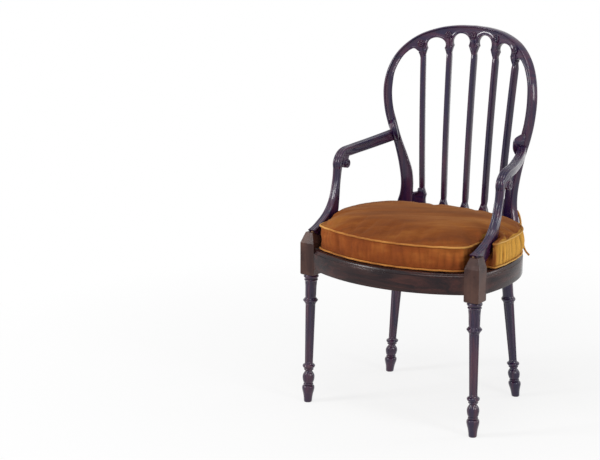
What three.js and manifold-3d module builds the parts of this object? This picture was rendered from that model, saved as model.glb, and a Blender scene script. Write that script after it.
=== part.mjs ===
// A hoop-back open armchair with turned legs, five upright bars and a loose squab cushion.
// Millimetres, +Z up, front towards -Y. The model is drawn with y = 0 on the front leg axes,
// and moved at the end so that the origin lies on the floor under the middle of its box.

import * as THREE from 'three';
import { mergeVertices } from 'three/addons/utils/BufferGeometryUtils.js';
import Module from 'manifold-3d';

const wasm = await Module();
wasm.setup();

// Fits
const jointGap = 0.3; // clear space between two touching pieces
const overrun = 4; // how far a cutting solid passes what it cuts
const weldDistance = 1e-4;

// Seat frame
const blockWidth = 41; // the square block at the head of a front leg
const blockBottom = 345;
const blockShoulder = 430; // where the block's sloped head starts
const blockTop = 457;
const blockHeadWidth = 21;
const railBottom = 363;
const railDepth = 52;
const railWidth = 38; // in plan
const frontBow = 60; // how far the front rail bows past the blocks
const seatHalfWidth = 268;
const sideTaper = 10.5; // each side comes in by this much on its way to the block
const seatWidestBehind = 120; // the widest place lies this far behind the front leg axes
const seatBackReach = 275; // from the widest place to the back of the rear rail
const seatSquareness = 2.12; // 2 is an ellipse, more is squarer
const rebateWidth = 12; // the step that carries the cane
const rebateDepth = 2.5;
const caneThickness = 1.6;
const tenonThickness = 12;
const tenonHeight = 34;
const tenonLength = 15;

// Front legs
const footSplay = 6; // the foot stands out sideways and forwards by this much
const frontCollarHeight = 273;
const frontAnkleHeight = 99.5;
const collarRadius = 19.5;
const ankleRadius = 16;
const shaftTopRadius = 12.8;
const shaftBottomRadius = 10.2;
const fluteDepth = 1.4;
const fluteCount = 8;
const fluteEnd = 4.2; // plain wood between the flutes and the rings

// Rear legs
const rearHeadShare = 0.715; // the leg's head stands at this share of the back's half width
const rearHeadInset = 6.8; // from the middle of the rear rail
const rearFootSplay = 34; // the foot stands out sideways and backwards by this much
const rearFootRake = 11;
const rearCollarHeight = 263;
const rearAnkleHeight = 90.5;
const rearShaftTopRadius = 14.2;
const rearCollarRadius = 18.5;
const postBlockWidth = 56; // the rear post where the rails meet it

// Back
const backHeight = 539; // from the rail top to the top of the hoop
const backNarrower = 47; // on each side, than the seat
const backThickness = 20;
const backInset = 20; // from the back of the rear rail to the middle of the lower back rail
const backLean = 46; // how far the top lies behind the foot of the back
const backLeanBend = 24; // the part of the lean that comes from its curve
const lowerRailRise = 38; // the space under the lower back rail, where the ties pass
const crestJointShare = 0.75; // the crest starts at this share of the back's height
const barWidth = 15;
const barThickness = 14;
const barShoulder = 1; // each neck is this much wider than its bar, on both sides
const barTenonLength = 9;
const barTenonWidth = 8;
const stayTenonLength = 11; // the lower back rail's tenons, into the stiles
const stayTenonHeight = 16;
const edgeRound = 4;

// Arms
const armInset = 1; // from the front leg's axis to the arm's
const armWidth = 24;
const armDepth = 27;
const armSupportDrop = 39; // from the arm's middle line down to the support's top
const armSupportInset = 5; // from the front leg's axis to the support's middle
const supportReach = 131; // from the block's middle to the back of the support's top
const armSupportWidth = 22;
const scrollRadius = 11.5;
const scrollY = 166;
const scrollDrop = 31; // the scroll's middle lies this far below the arm's middle line
const armJointShare = 0.475; // where the arm meets the stile, of the back's height
const armFall = 32; // from there to the arm's middle line over the scroll
const lapHalfHeight = 40; // the leaf-shaped end that lies on the stile
const lapReach = 26;
const supportDowelRadius = 5;
const dowelLength = 36;

// Screws and corner blocks
const screwRadius = 2.2;
const screwHeadRadius = 4.6;
const screwHeadDepth = 3;
const armScrewLength = 34;
const plugDepth = 4;
const cornerBlockDepth = 30;
const cornerBlockLeg = 62;
const cornerBlockRise = 3; // over the rails' underside
const blockScrewLength = 30;
const screwInset = 22; // from the corner block's end to its screw

// Cushion and ties
const cushionThickness = 66;
const cushionCrown = 20;
const cushionDrawIn = 5;
const cushionFrontInset = 19; // from the front rail's face to the cushion's edge
const cushionSideInset = 14;
const cushionRearInset = 66; // from the back of the rear rail to the cushion's edge
const cushionSquareness = 2.2;
const cushionShift = 7; // it lies a little to the right of the middle
const pipingRadius = 3;
const softGap = 4; // around the arm supports
const tieRadius = 2.6;
const tieHeight = 439;
const knotRadius = 6.5;
const bowHeight = 54;
const bowWidth = 13;
const tailDrop = 62;

const railTop = railBottom + railDepth;
const halfBlock = blockWidth / 2;
const blockOuterX = seatHalfWidth - sideTaper;
const blockInnerX = blockOuterX - blockWidth;
const legX = blockOuterX - halfBlock;
const armX = legX - armInset;
const armSupportX = legX - armSupportInset;
const backHalfWidth = seatHalfWidth - backNarrower;
const rearHeadX = rearHeadShare * backHalfWidth;
const armJointHeight = railTop + armJointShare * backHeight;
const armMiddleHeight = armJointHeight - armFall;
const armSupportTop = armMiddleHeight - armSupportDrop;
const cushionRearReach = seatBackReach - cushionRearInset;
const sides = [['left', -1], ['right', 1]];
const cornerNames = ['front_left', 'front_right', 'rear_left', 'rear_right'];

const mahogany = { color: 0x3a1a17, roughness: 0.28, metalness: 0 };
const darkMahogany = { color: 0x2b1618, roughness: 0.26, metalness: 0 };
const plainBeech = { color: 0x9a7248, roughness: 0.7, metalness: 0 };
const iron = { color: 0x6b675f, roughness: 0.45, metalness: 0.9 };
const velvet = { color: 0xa85f22, roughness: 0.9, metalness: 0 };
const caneColour = { color: 0xc9a56a, roughness: 0.6, metalness: 0 };

// Geometry helpers

function v2(x, y) {
  return new THREE.Vector2(x, y);
}

function v3(x, y, z) {
  return new THREE.Vector3(x, y, z);
}

function volumeOf(position, index) {
  const [a, b, c] = [v3(), v3(), v3()];
  let sum = 0;
  for (let i = 0; i < index.length; i += 3) {
    a.fromBufferAttribute(position, index[i]);
    b.fromBufferAttribute(position, index[i + 1]);
    c.fromBufferAttribute(position, index[i + 2]);
    sum += a.dot(b.cross(c));
  }
  return sum;
}

// Welds a geometry to one closed skin with its faces pointing out.
function closedSkin(geometry) {
  const bare = geometry.clone();
  for (const name of Object.keys(bare.attributes)) {
    if (name !== 'position') bare.deleteAttribute(name);
  }
  const merged = mergeVertices(bare, weldDistance);
  const kept = [];
  const index = merged.index.array;
  for (let i = 0; i < index.length; i += 3) {
    const [a, b, c] = [index[i], index[i + 1], index[i + 2]];
    if (a !== b && b !== c && c !== a) kept.push(a, b, c);
  }
  if (volumeOf(merged.attributes.position, kept) < 0) kept.reverse();
  merged.setIndex(kept);
  return merged;
}

function solidOf(geometry) {
  const skin = closedSkin(geometry);
  const vertProperties = new Float32Array(skin.attributes.position.array);
  const triVerts = new Uint32Array(skin.index.array);
  return new wasm.Manifold(new wasm.Mesh({ numProp: 3, vertProperties, triVerts }));
}

function geometryOf(solid) {
  const { vertProperties, triVerts } = solid.getMesh();
  const geometry = new THREE.BufferGeometry();
  geometry.setAttribute('position', new THREE.BufferAttribute(vertProperties, 3));
  geometry.setIndex(new THREE.BufferAttribute(triVerts, 1));
  return geometry;
}

// Joins rings of equal length into a closed tube; each ring is a list of points.
function loft(rings, section, isLoop = false) {
  const count = rings[0].length;
  const points = rings.flat();
  const index = [];
  const last = isLoop ? rings.length : rings.length - 1;
  for (let r = 0; r < last; r += 1) {
    const here = r * count;
    const next = ((r + 1) % rings.length) * count;
    for (let i = 0; i < count; i += 1) {
      const j = (i + 1) % count;
      index.push(here + i, here + j, next + j, here + i, next + j, next + i);
    }
  }
  if (!isLoop) {
    const end = (rings.length - 1) * count;
    const isClockwise = THREE.ShapeUtils.isClockWise(section);
    for (const triangle of THREE.ShapeUtils.triangulateShape(section, [])) {
      const [a, b, c] = isClockwise ? triangle.reverse() : triangle;
      index.push(c, b, a, end + a, end + b, end + c);
    }
  }
  const geometry = new THREE.BufferGeometry().setFromPoints(points);
  geometry.setIndex(index);
  return geometry;
}

// A frame is a place with two directions that carry a flat section.
function placeSection(section, frame) {
  return section.map(({ x, y }) => frame.at.clone()
    .addScaledVector(frame.side, x)
    .addScaledVector(frame.up, y));
}

function sweep(frames, sectionAt, isLoop = false) {
  const rings = frames.map((frame, i) => placeSection(sectionAt(i / (frames.length - 1)), frame));
  return loft(rings, sectionAt(0), isLoop);
}

// Frames along an arm's curve, with their side kept level and their top up or forwards.
const uprightShare = 0.2; // a curve whose level part is smaller than this stands upright

function curveFrames(curve, count) {
  return steps(count).map((t) => {
    const at = curve.getPoint(t);
    const along = curve.getTangent(t);
    const side = v3(along.y, -along.x, 0);
    if (side.length() < uprightShare) side.set(1, 0, 0);
    if (side.x < 0) side.negate();
    side.addScaledVector(along, -side.dot(along)).normalize();
    const up = side.clone().cross(along).normalize();
    if (up.z < 0 || (up.z < uprightShare && up.y > 0)) up.negate();
    return { at, side, up };
  });
}

// A rectangle with cut corners, centred, of eight points.
function chamferedSection(width, depth, cut) {
  const [w, d] = [width / 2, depth / 2];
  return [v2(-w, cut - d), v2(cut - w, -d), v2(w - cut, -d), v2(w, cut - d),
    v2(w, d - cut), v2(w - cut, d), v2(cut - w, d), v2(-w, d - cut)];
}

function roundSection(radius, count) {
  return Array.from({ length: count }, (_, i) => {
    const angle = (i / count) * 2 * Math.PI;
    return v2(radius * Math.cos(angle), radius * Math.sin(angle));
  });
}

function boxBetween(low, high) {
  const size = high.clone().sub(low);
  const box = new THREE.BoxGeometry(size.x, size.y, size.z);
  return box.translate((low.x + high.x) / 2, (low.y + high.y) / 2, (low.z + high.z) / 2);
}

// A round pin from one point to another.
function pin(from, to, radius, count = 10) {
  const along = to.clone().sub(from);
  const geometry = new THREE.CylinderGeometry(radius, radius, along.length(), count);
  const turn = new THREE.Quaternion().setFromUnitVectors(v3(0, 1, 0), along.clone().normalize());
  const middle = from.clone().add(to).multiplyScalar(0.5);
  return geometry.applyQuaternion(turn).translate(middle.x, middle.y, middle.z);
}

function prism(points, bottom, top) {
  const shape = new THREE.Shape(points);
  const geometry = new THREE.ExtrudeGeometry(shape, { depth: top - bottom, bevelEnabled: false });
  return geometry.translate(0, 0, bottom);
}

function lerp(a, b, t) {
  return a + (b - a) * t;
}

function steps(count) {
  return Array.from({ length: count + 1 }, (_, i) => i / count);
}

// The seat in plan

const frontApexY = -halfBlock - frontBow;
const frontRadius = (blockInnerX ** 2 + frontBow ** 2) / (2 * frontBow);

// y of the front rail's face at x, moved back by inset.
function frontFaceY(x, inset = 0) {
  const radius = frontRadius - inset;
  return frontApexY + frontRadius - Math.sqrt(radius ** 2 - x ** 2);
}

// A point of the side and rear face on the right: t runs from the block (-1) by the widest
// place (0) to the middle of the back (1).
function sideFacePoint(t) {
  if (t < 0) {
    const y = lerp(seatWidestBehind, halfBlock, -t);
    return v2(seatHalfWidth - sideTaper * t * t, y);
  }
  const angle = (t * Math.PI) / 2;
  const power = 2 / seatSquareness;
  return v2(
    seatHalfWidth * Math.cos(angle) ** power,
    seatWidestBehind + seatBackReach * Math.sin(angle) ** power,
  );
}

function mirrorPoint({ x, y }) {
  return v2(-x, y);
}

// The face from the right block round the back to the left block.
function sideAndRearFace() {
  const right = [...steps(5).slice(0, 5).map((t) => t - 1), ...steps(14)].map(sideFacePoint);
  right[right.length - 1].x = 0;
  const start = v2(right[0].x, 0);
  const half = [start, ...right];
  return [...half, ...half.slice(0, -1).reverse().map(mirrorPoint)];
}

function inwardNormals(points) {
  return points.map((_, i) => {
    const before = points[Math.max(i - 1, 0)];
    const after = points[Math.min(i + 1, points.length - 1)];
    const along = after.clone().sub(before).normalize();
    return v2(-along.y, along.x);
  });
}

function insetLine(points, inset) {
  const normals = inwardNormals(points);
  return points.map((point, i) => point.clone().addScaledVector(normals[i], inset));
}

// The rail's section: how far in from the face, and how high over the underside.
const mouldingShares = [[0, 0.83], [0.05, 0.855], [0.05, 0.885], [0.12, 0.915], [0.17, 0.97], [0.21, 1]];

function railSection() {
  const moulding = mouldingShares.map(([inShare, upShare]) => v2(inShare * railWidth, upShare * railDepth));
  return [
    v2(0, 0), ...moulding,
    v2(railWidth - rebateWidth, railDepth),
    v2(railWidth - rebateWidth, railDepth - rebateDepth),
    v2(railWidth, railDepth - rebateDepth),
    v2(railWidth, 0),
  ];
}

function railSweep(face) {
  const section = railSection();
  const normals = inwardNormals(face);
  const frames = face.map(({ x, y }, i) => ({
    at: v3(x, y, railBottom),
    side: v3(normals[i].x, normals[i].y, 0),
    up: v3(0, 0, 1),
  }));
  return sweep(frames, () => section);
}

function frontFace() {
  return steps(20).map((t) => {
    const x = lerp(-legX, legX, t);
    return v2(x, frontFaceY(x));
  });
}

// The space inside the rails, inset from their face.
function insideRails(inset, bottom, top) {
  const band = insetLine(sideAndRearFace(), inset);
  const far = v2(0, frontApexY - seatBackReach);
  const outline = [...band, v2(band[band.length - 1].x, far.y), v2(band[0].x, far.y)];
  const front = steps(20).map((t) => {
    const x = lerp(-seatHalfWidth, seatHalfWidth, t);
    return v2(x, frontFaceY(x, inset));
  });
  const deep = seatWidestBehind + 2 * seatBackReach;
  const behindFront = [...front, v2(seatHalfWidth, deep), v2(-seatHalfWidth, deep)];
  return solidOf(prism(outline, bottom, top)).intersect(solidOf(prism(behindFront, bottom, top)));
}

function blockBox(side, grow) {
  const low = v3(side * legX - halfBlock - grow, -halfBlock - grow, blockBottom);
  const high = v3(side * legX + halfBlock + grow, halfBlock + grow, blockTop);
  return solidOf(boxBetween(low, high));
}

// The part of the plan that belongs to a rear post, as a tall box.
const postInnerX = rearHeadX - postBlockWidth / 2;
const postOuterX = rearHeadX + postBlockWidth / 2;
const deepBack = seatWidestBehind + seatBackReach + overrun;

function postBox(side, grow) {
  const xs = [side * (postInnerX - grow), side * (postOuterX + grow)].sort((a, b) => a - b);
  const low = v3(xs[0], seatWidestBehind + seatBackReach / 4, railBottom - overrun);
  return solidOf(boxBetween(low, v3(xs[1], deepBack, railTop + overrun)));
}

// y of the rear rail's face at x, and of its middle.
function rearFaceY(x) {
  const share = 1 - (Math.abs(x) / seatHalfWidth) ** seatSquareness;
  return seatWidestBehind + seatBackReach * share ** (1 / seatSquareness);
}

function railMiddleY(x) {
  return rearFaceY(x) - railWidth / 2 / Math.sqrt(1 - (x / seatHalfWidth) ** 2);
}

const rearHeadY = railMiddleY(rearHeadX) - rearHeadInset;
const tenonMiddleZ = railBottom + (railDepth - rebateDepth) / 2;

// Tenons lie along X or along Y, with their middle on the joint's face.
function tenonBox(x, y, alongX, grow) {
  const long = tenonLength + grow;
  const thick = tenonThickness / 2 + grow;
  const high = tenonHeight / 2 + grow;
  const reach = alongX ? v3(long, thick, high) : v3(thick, long, high);
  const middle = v3(x, y, tenonMiddleZ);
  return solidOf(boxBetween(middle.clone().sub(reach), middle.clone().add(reach)));
}

function frontTenon(side, grow) {
  return tenonBox(side * blockInnerX, -tenonThickness / 2, true, grow);
}

function sideTenon(side, grow) {
  return tenonBox(side * (blockOuterX - tenonThickness), halfBlock + tenonLength / 3, false, grow);
}

function rearTenon(side, grow) {
  return tenonBox(side * postInnerX, railMiddleY(postInnerX), true, grow);
}

function sidePostTenon(side, grow) {
  return tenonBox(side * postOuterX, railMiddleY(postOuterX), true, grow);
}

const bandSolid = solidOf(railSweep(sideAndRearFace()));

function halfSpace(side) {
  const far = 2 * seatHalfWidth;
  const xs = [0, side * far].sort((a, b) => a - b);
  return solidOf(boxBetween(v3(xs[0], -far, -far), v3(xs[1], far, 2 * far)));
}

// Cuts the holes of the screws that hold the named corner blocks.
function withScrewHoles(rail, names) {
  const lines = names.flatMap((name) => cornerScrewLines(name));
  return lines.reduce((solid, [from, to]) => solid.subtract(screwSolid(from, to, jointGap)), rail);
}

function frontRail() {
  const rail = sides.reduce(
    (solid, [, side]) => solid.subtract(blockBox(side, jointGap)).add(frontTenon(side, 0)),
    solidOf(railSweep(frontFace())),
  );
  return withScrewHoles(rail, ['front_left', 'front_right']);
}

// The whole band beside a post belongs to the side rail where it lies further out.
function sideRail(side) {
  const innerX = postOuterX + jointGap;
  const low = v3(-innerX, seatWidestBehind, railBottom - overrun);
  const middle = solidOf(boxBetween(low, v3(innerX, deepBack, railTop + overrun)));
  const rail = bandSolid.intersect(halfSpace(side)).subtract(middle)
    .subtract(blockBox(side, jointGap))
    .add(sideTenon(side, 0)).add(sidePostTenon(side, 0));
  return withScrewHoles(rail, cornerNames);
}

function rearRail() {
  const x = postInnerX - jointGap;
  const low = v3(-x, seatWidestBehind, railBottom - overrun);
  const middle = solidOf(boxBetween(low, v3(x, deepBack, railTop + overrun)));
  const rail = bandSolid.intersect(middle).add(rearTenon(-1, 0)).add(rearTenon(1, 0));
  return withScrewHoles(rail, ['rear_left', 'rear_right']);
}

// Turned legs

// The foot below the ankle ring: [share of the ankle height, share of the ankle radius].
const footShares = [
  [0, 0.64], [0.2, 0.78], [0.32, 0.96], [0.39, 1.02], [0.44, 0.95], [0.46, 0.72], [0.49, 0.78],
  [0.52, 0.72], [0.6, 0.9], [0.69, 0.97], [0.78, 0.82], [0.84, 0.57], [0.89, 0.78],
  [0.94, 0.84], [1, 1], [1.05, 0.72],
];

// Above the collar of a front leg: [share of the way to the block, share of the collar radius].
const neckShares = [
  [-0.06, 0.72], [-0.03, 0.93], [0.02, 1], [0.07, 0.93], [0.1, 0.72], [0.2, 0.7],
  [0.72, 0.74], [0.78, 0.9], [0.86, 0.84], [0.92, 0.98], [1, 1],
];

// Above the collar of a rear leg.
const rearNeckShares = [
  [-0.06, 0.76], [-0.03, 0.94], [0.01, 1], [0.05, 0.94], [0.09, 0.78], [1.1, 0.86],
];

function legProfile(ankle, collar, head, table, collarSize, shaftTop) {
  const foot = footShares.map(([up, out]) => v2(out * ankleRadius, up * ankle));
  const neck = table.map(([up, out]) => v2(out * collarSize, collar + up * (head - collar)));
  const low = foot[foot.length - 1].y + fluteEnd;
  const high = neck[0].y - fluteEnd;
  const shaft = steps(2).map((t) => v2(lerp(shaftBottomRadius, shaftTop, t), lerp(low, high, t)));
  const axisEnds = [v2(0, 0), v2(0, neck[neck.length - 1].y)];
  return { points: [axisEnds[0], ...foot, ...shaft, ...neck, axisEnds[1]], low, high };
}

// Turns the profile about the z axis and cuts the flutes between two heights.
function turned({ points, low, high }) {
  const count = fluteCount * 2;
  const geometry = new THREE.LatheGeometry(points, count).rotateX(Math.PI / 2);
  const position = geometry.attributes.position;
  const columns = points.length;
  for (let i = 0; i < position.count; i += 1) {
    const column = Math.floor(i / columns) % count;
    const z = position.getZ(i);
    const isFluted = column % 2 === 1 && z > low + weldDistance && z < high - weldDistance;
    if (isFluted) {
      const [x, y] = [position.getX(i), position.getY(i)];
      const shrink = 1 - fluteDepth / Math.hypot(x, y);
      position.setXY(i, x * shrink, y * shrink);
    }
  }
  return geometry;
}

// Slants a leg so that its foot stands away from its head.
function slanted(geometry, foot, head) {
  const position = geometry.attributes.position;
  for (let i = 0; i < position.count; i += 1) {
    const share = 1 - position.getZ(i) / head.z;
    position.setXY(
      i,
      position.getX(i) + lerp(head.x, foot.x, share),
      position.getY(i) + lerp(head.y, foot.y, share),
    );
  }
  return geometry;
}

function slopedBlock(side) {
  const low = boxBetween(
    v3(side * legX - halfBlock, -halfBlock, blockBottom),
    v3(side * legX + halfBlock, halfBlock, blockTop),
  );
  const slope = (blockWidth - blockHeadWidth) / 2;
  const width = blockWidth + 2 * overrun;
  const rise = blockTop - blockShoulder;
  const run = slope * (1 + overrun / rise);
  const wedge = [v2(0, 0), v2(-run, rise + overrun), v2(overrun, rise + overrun), v2(overrun, 0)];
  const cutter = prism(wedge, -width, width);
  const upright = cutter.clone().rotateX(Math.PI / 2);
  const onFace = (turn, x, y) => solidOf(upright.clone().rotateZ(turn).translate(x, y, blockShoulder));
  return solidOf(low)
    .subtract(onFace(0, side * legX + halfBlock, 0))
    .subtract(onFace(Math.PI, side * legX - halfBlock, 0))
    .subtract(onFace(-Math.PI / 2, side * legX, -halfBlock));
}

function frontLeg(side) {
  const head = v3(side * legX, 0, blockBottom);
  const foot = v3(side * (legX + footSplay), -footSplay, 0);
  const top = blockBottom + jointGap;
  const profile = legProfile(
    frontAnkleHeight, frontCollarHeight, top, neckShares, collarRadius, shaftTopRadius,
  );
  const leg = slanted(turned(profile), foot, head);
  return solidOf(leg).add(slopedBlock(side))
    .subtract(frontTenon(side, jointGap))
    .subtract(sideTenon(side, jointGap))
    .subtract(solidOf(supportDowel(side, jointGap)));
}

// The back, drawn flat as (x, depth, z) and then bent to its hollow and its lean

// The stiles stand flush with the seat's face, and the middle of the back lies behind them.
const backMiddleY = seatWidestBehind + seatBackReach - backInset;
const stileY = rearFaceY(rearHeadX) - backThickness / 2;
const backHollow = (backMiddleY - stileY) * (backHalfWidth / rearHeadX) ** 2;

function backY(x, z) {
  const up = (z - railTop) / backHeight;
  const lean = (backLean - backLeanBend) * up + backLeanBend * up * up;
  return backMiddleY + lean - backHollow * (x / backHalfWidth) ** 2;
}

function backSlope(x) {
  return (-2 * backHollow * x) / backHalfWidth ** 2;
}

// Depth is measured along the surface's own direction, positive to the back.
function backPoint(x, depth, z) {
  const slope = backSlope(x);
  const length = Math.hypot(slope, 1);
  return v3(x - (depth * slope) / length, backY(x, z) + depth / length, z);
}

function bent(geometry) {
  const position = geometry.attributes.position;
  for (let i = 0; i < position.count; i += 1) {
    const point = backPoint(position.getX(i), position.getY(i), position.getZ(i));
    position.setXYZ(i, point.x, point.y, point.z);
  }
  return geometry;
}

// The hoop's outer and inner lines: [share of the half width, share of the height].
const outerShares = [
  [0.82, -0.04], [0.81, 0.08], [0.785, 0.125], [0.765, 0.165], [0.76, 0.223], [0.787, 0.31],
  [0.851, 0.412], [0.937, 0.51], [0.982, 0.592], [1, 0.701], [0.95, 0.801], [0.851, 0.876],
  [0.683, 0.939], [0.457, 0.978], [0.235, 0.995], [0, 1],
];
const innerShares = [
  [0.6, -0.04], [0.612, 0.08], [0.622, 0.125], [0.631, 0.165], [0.634, 0.217], [0.652, 0.276],
  [0.706, 0.345], [0.792, 0.438], [0.855, 0.523], [0.9, 0.583], [0.923, 0.649], [0.925, 0.701],
  [0.905, 0.772], [0.828, 0.84], [0.765, 0.868],
];

function backCurve(shares) {
  const points = shares.map(([out, up]) => v3(out * backHalfWidth, 0, railTop + up * backHeight));
  return new THREE.CatmullRomCurve3(points, false, 'centripetal');
}

const outerLine = backCurve(outerShares);
const innerLine = backCurve(innerShares);

// The first place on a rising line where it reaches a height.
function atHeight(curve, z) {
  let [low, high] = [0, 1];
  while (high - low > weldDistance) {
    const middle = (low + high) / 2;
    if (curve.getPoint(middle).z < z) low = middle;
    else high = middle;
  }
  return curve.getPoint(low);
}

const crestJointZ = railTop + crestJointShare * backHeight;
const stileFootZ = railTop - edgeRound;

// One side of the hoop from the seat up to a height, grown all round where it cuts a neighbour.
function stileSolid(side, grow, top) {
  const heights = steps(26).map((t) => lerp(stileFootZ, top, t));
  const rings = heights.map((z) => {
    const outer = atHeight(outerLine, z).x + grow;
    const inner = atHeight(innerLine, z).x - grow;
    const section = chamferedSection(outer - inner, backThickness + 2 * grow, edgeRound);
    return section.map(({ x, y }) => v3(side * ((outer + inner) / 2 + x), y, z));
  });
  const section = rings[0].map(({ x, y }) => v2(side * x, y));
  return solidOf(bent(loft(rings, section)));
}

function rearPost(side) {
  const head = v3(side * rearHeadX, rearHeadY, railBottom);
  const foot = v3(side * (rearHeadX + rearFootSplay), rearHeadY + rearFootRake, 0);
  const profile = legProfile(
    rearAnkleHeight, rearCollarHeight, railBottom, rearNeckShares, rearCollarRadius, rearShaftTopRadius,
  );
  const leg = slanted(turned(profile), foot, head);
  const joint = bandSolid.intersect(postBox(side, 0));
  return solidOf(leg).add(joint)
    .add(stileSolid(side, 0, crestJointZ))
    .subtract(rearTenon(side, jointGap))
    .subtract(sidePostTenon(side, jointGap))
    .subtract(crestTenon(side, jointGap))
    .subtract(stayTenon(side, jointGap))
    .subtract(armScrewHole(side));
}

// Places of the five bars from left to right: x at the head and at the foot.
const barHeadShares = [-0.606, -0.317, 0, 0.317, 0.606];
const barFootShares = [-0.5, -0.268, 0, 0.268, 0.5];
const headNeckShares = [0.842, 0.86, 0.866, 0.86, 0.842]; // where each bar meets the crest
const footNeckShares = [0.212, 0.17, 0.158, 0.17, 0.212]; // where each bar meets the lower rail
const headCuspShares = [[0.857, 0.878], [0.884, 0.896], [0.904, 0.904], [0.896, 0.884], [0.878, 0.857]];
const headShares = [0.933, 1.033, 1.2, 1.033, 0.933]; // half the heads' widths, of a bar's width
const archTopShares = [0.934, 0.96, 0.96, 0.934];
const outerArchShare = 0.876;

const shareZ = (share) => railTop + share * backHeight;
const shareX = (share) => share * backHalfWidth;

// One round arch between two cusps, as points.
const archBulgeShare = 0.06;
const archShoulderShare = 0.6;
const archRoundShare = 0.56;

function archPoints(from, to, topZ) {
  const bulge = (to.x - from.x) * archBulgeShare;
  const middle = v2((from.x + to.x) / 2, topZ);
  const round = archRoundShare * (middle.x - from.x);
  const rise = new THREE.CubicBezierCurve(
    from, v2(from.x - bulge, lerp(from.y, topZ, archShoulderShare)), v2(middle.x - round, topZ), middle,
  );
  const fall = new THREE.CubicBezierCurve(
    middle, v2(middle.x + round, topZ), v2(to.x + bulge, lerp(to.y, topZ, archShoulderShare)), to,
  );
  return [...rise.getPoints(5).slice(1), ...fall.getPoints(5).slice(1, 5)];
}

// The head over one bar: cusp, hollow, neck, hollow, cusp.
const waistShare = 0.35; // the hollow's height between neck and cusp
const waistWidthShare = 0.25; // its width between the neck's and the cusp's

function headPoints(i) {
  const x = shareX(barHeadShares[i]);
  const [leftZ, rightZ] = headCuspShares[i].map(shareZ);
  const neckZ = shareZ(headNeckShares[i]);
  const half = barWidth / 2 + barShoulder;
  const wide = headShares[i] * barWidth;
  const waist = (cuspZ) => lerp(neckZ, cuspZ, waistShare);
  const waistHalf = lerp(half, wide, waistWidthShare);
  return [
    v2(x - wide, leftZ), v2(x - waistHalf, waist(leftZ)), v2(x - half, neckZ),
    v2(x + half, neckZ), v2(x + waistHalf, waist(rightZ)), v2(x + wide, rightZ),
  ];
}

// The part of a side line of the hoop that the crest has, from the joint to its top.
function crestLine(curve) {
  const start = atHeight(curve, crestJointZ + jointGap);
  const rest = curve.getPoints(45).filter(({ z }) => z > start.z + 2 * edgeRound);
  return [start, ...rest].map(({ x, z }) => v2(x, z));
}

const outerArchPlaceShare = 0.45; // the outer half arches' tops, from the hoop to the first cusp

function crestOutline() {
  const points = [];
  const outerRight = crestLine(outerLine);
  const innerLeft = crestLine(innerLine).map(mirrorPoint);
  outerRight[outerRight.length - 1].x = 0;
  points.push(...innerLeft);
  const lead = innerLeft[innerLeft.length - 1];
  const outerArchX = lerp(lead.x, headPoints(0)[0].x, outerArchPlaceShare);
  points.push(v2(outerArchX, shareZ(outerArchShare)));
  for (let i = 0; i < barHeadShares.length; i += 1) {
    const head = headPoints(i);
    points.push(...head);
    if (i < archTopShares.length) {
      points.push(...archPoints(head[5], headPoints(i + 1)[0], shareZ(archTopShares[i])));
    }
  }
  points.push(v2(-outerArchX, shareZ(outerArchShare)));
  points.push(...innerLeft.slice().reverse().map(mirrorPoint));
  points.push(...outerRight);
  points.push(...outerRight.slice(0, -1).reverse().map(mirrorPoint));
  return points;
}

// Extrudes an outline of the back and bends it.
function backPlate(points, thickness, edge) {
  const shape = new THREE.Shape(points);
  const geometry = new THREE.ExtrudeGeometry(shape, {
    depth: thickness - 2 * edge,
    bevelEnabled: true,
    bevelThickness: edge,
    bevelSize: edge,
    bevelOffset: -edge,
    bevelSegments: 1,
  });
  geometry.translate(0, 0, edge - thickness / 2);
  geometry.rotateX(Math.PI / 2);
  return closedSkin(geometry);
}

// A straight square tenon in the flat back, from one height to another.
function flatTenon(x, width, bottom, top, grow) {
  const section = [v2(-1, -1), v2(1, -1), v2(1, 1), v2(-1, 1)];
  const half = width / 2 + grow;
  const rings = [bottom, top].map((z) => section.map((corner) => v3(x + corner.x * half, corner.y * half, z)));
  return solidOf(bent(loft(rings, section)));
}

// The crest's own tenon goes down into the stile.
function crestTenon(side, grow) {
  const { x } = atHeight(outerLine, crestJointZ);
  const inner = atHeight(innerLine, crestJointZ).x;
  const middle = side * (x + inner) / 2;
  return flatTenon(middle, barTenonWidth, crestJointZ - barTenonLength * 2 - grow, crestJointZ + overrun, grow);
}

// Each bar's tenon at its head and foot.
function barTenons(i, grow) {
  const headZ = shareZ(headNeckShares[i]);
  const footZ = shareZ(footNeckShares[i]);
  const head = shareX(barHeadShares[i]);
  const foot = shareX(barFootShares[i]);
  return [
    flatTenon(head, barTenonWidth, headZ - overrun, headZ + barTenonLength + grow, grow),
    flatTenon(foot, barTenonWidth, footZ - barTenonLength - grow, footZ + overrun, grow),
  ];
}

// The lower rail's tenon goes sideways into the stile.
function stayTenon(side, grow) {
  const bottom = railTop + lowerRailRise + edgeRound;
  const heights = [bottom - grow, bottom + stayTenonHeight + grow];
  const edge = atHeight(innerLine, bottom).x;
  const half = barTenonWidth / 2 + grow;
  const xs = [edge - overrun, edge + stayTenonLength + grow];
  const section = [v2(xs[0], -half), v2(xs[1], -half), v2(xs[1], half), v2(xs[0], half)];
  const rings = heights.map((z) => section.map(({ x, y }) => v3(side * x, y, z)));
  return solidOf(bent(loft(rings, section.map(({ x, y }) => v2(side * x, y)))));
}

function crestRail() {
  let crest = solidOf(bent(backPlate(crestOutline(), backThickness, edgeRound / 2)));
  for (let i = 0; i < barHeadShares.length; i += 1) {
    crest = crest.subtract(barTenons(i, jointGap)[0]);
  }
  return crest.add(crestTenon(-1, 0)).add(crestTenon(1, 0));
}

// The lower rail runs between the stiles a little above the seat.
const footCuspShare = 0.03; // how far its cusps lie under the bars' necks
const footValleyShare = 0.16; // how far its hollows lie under the necks, of the half width
const footWidthShare = 0.85; // its cusps' width, of the crest's

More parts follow.
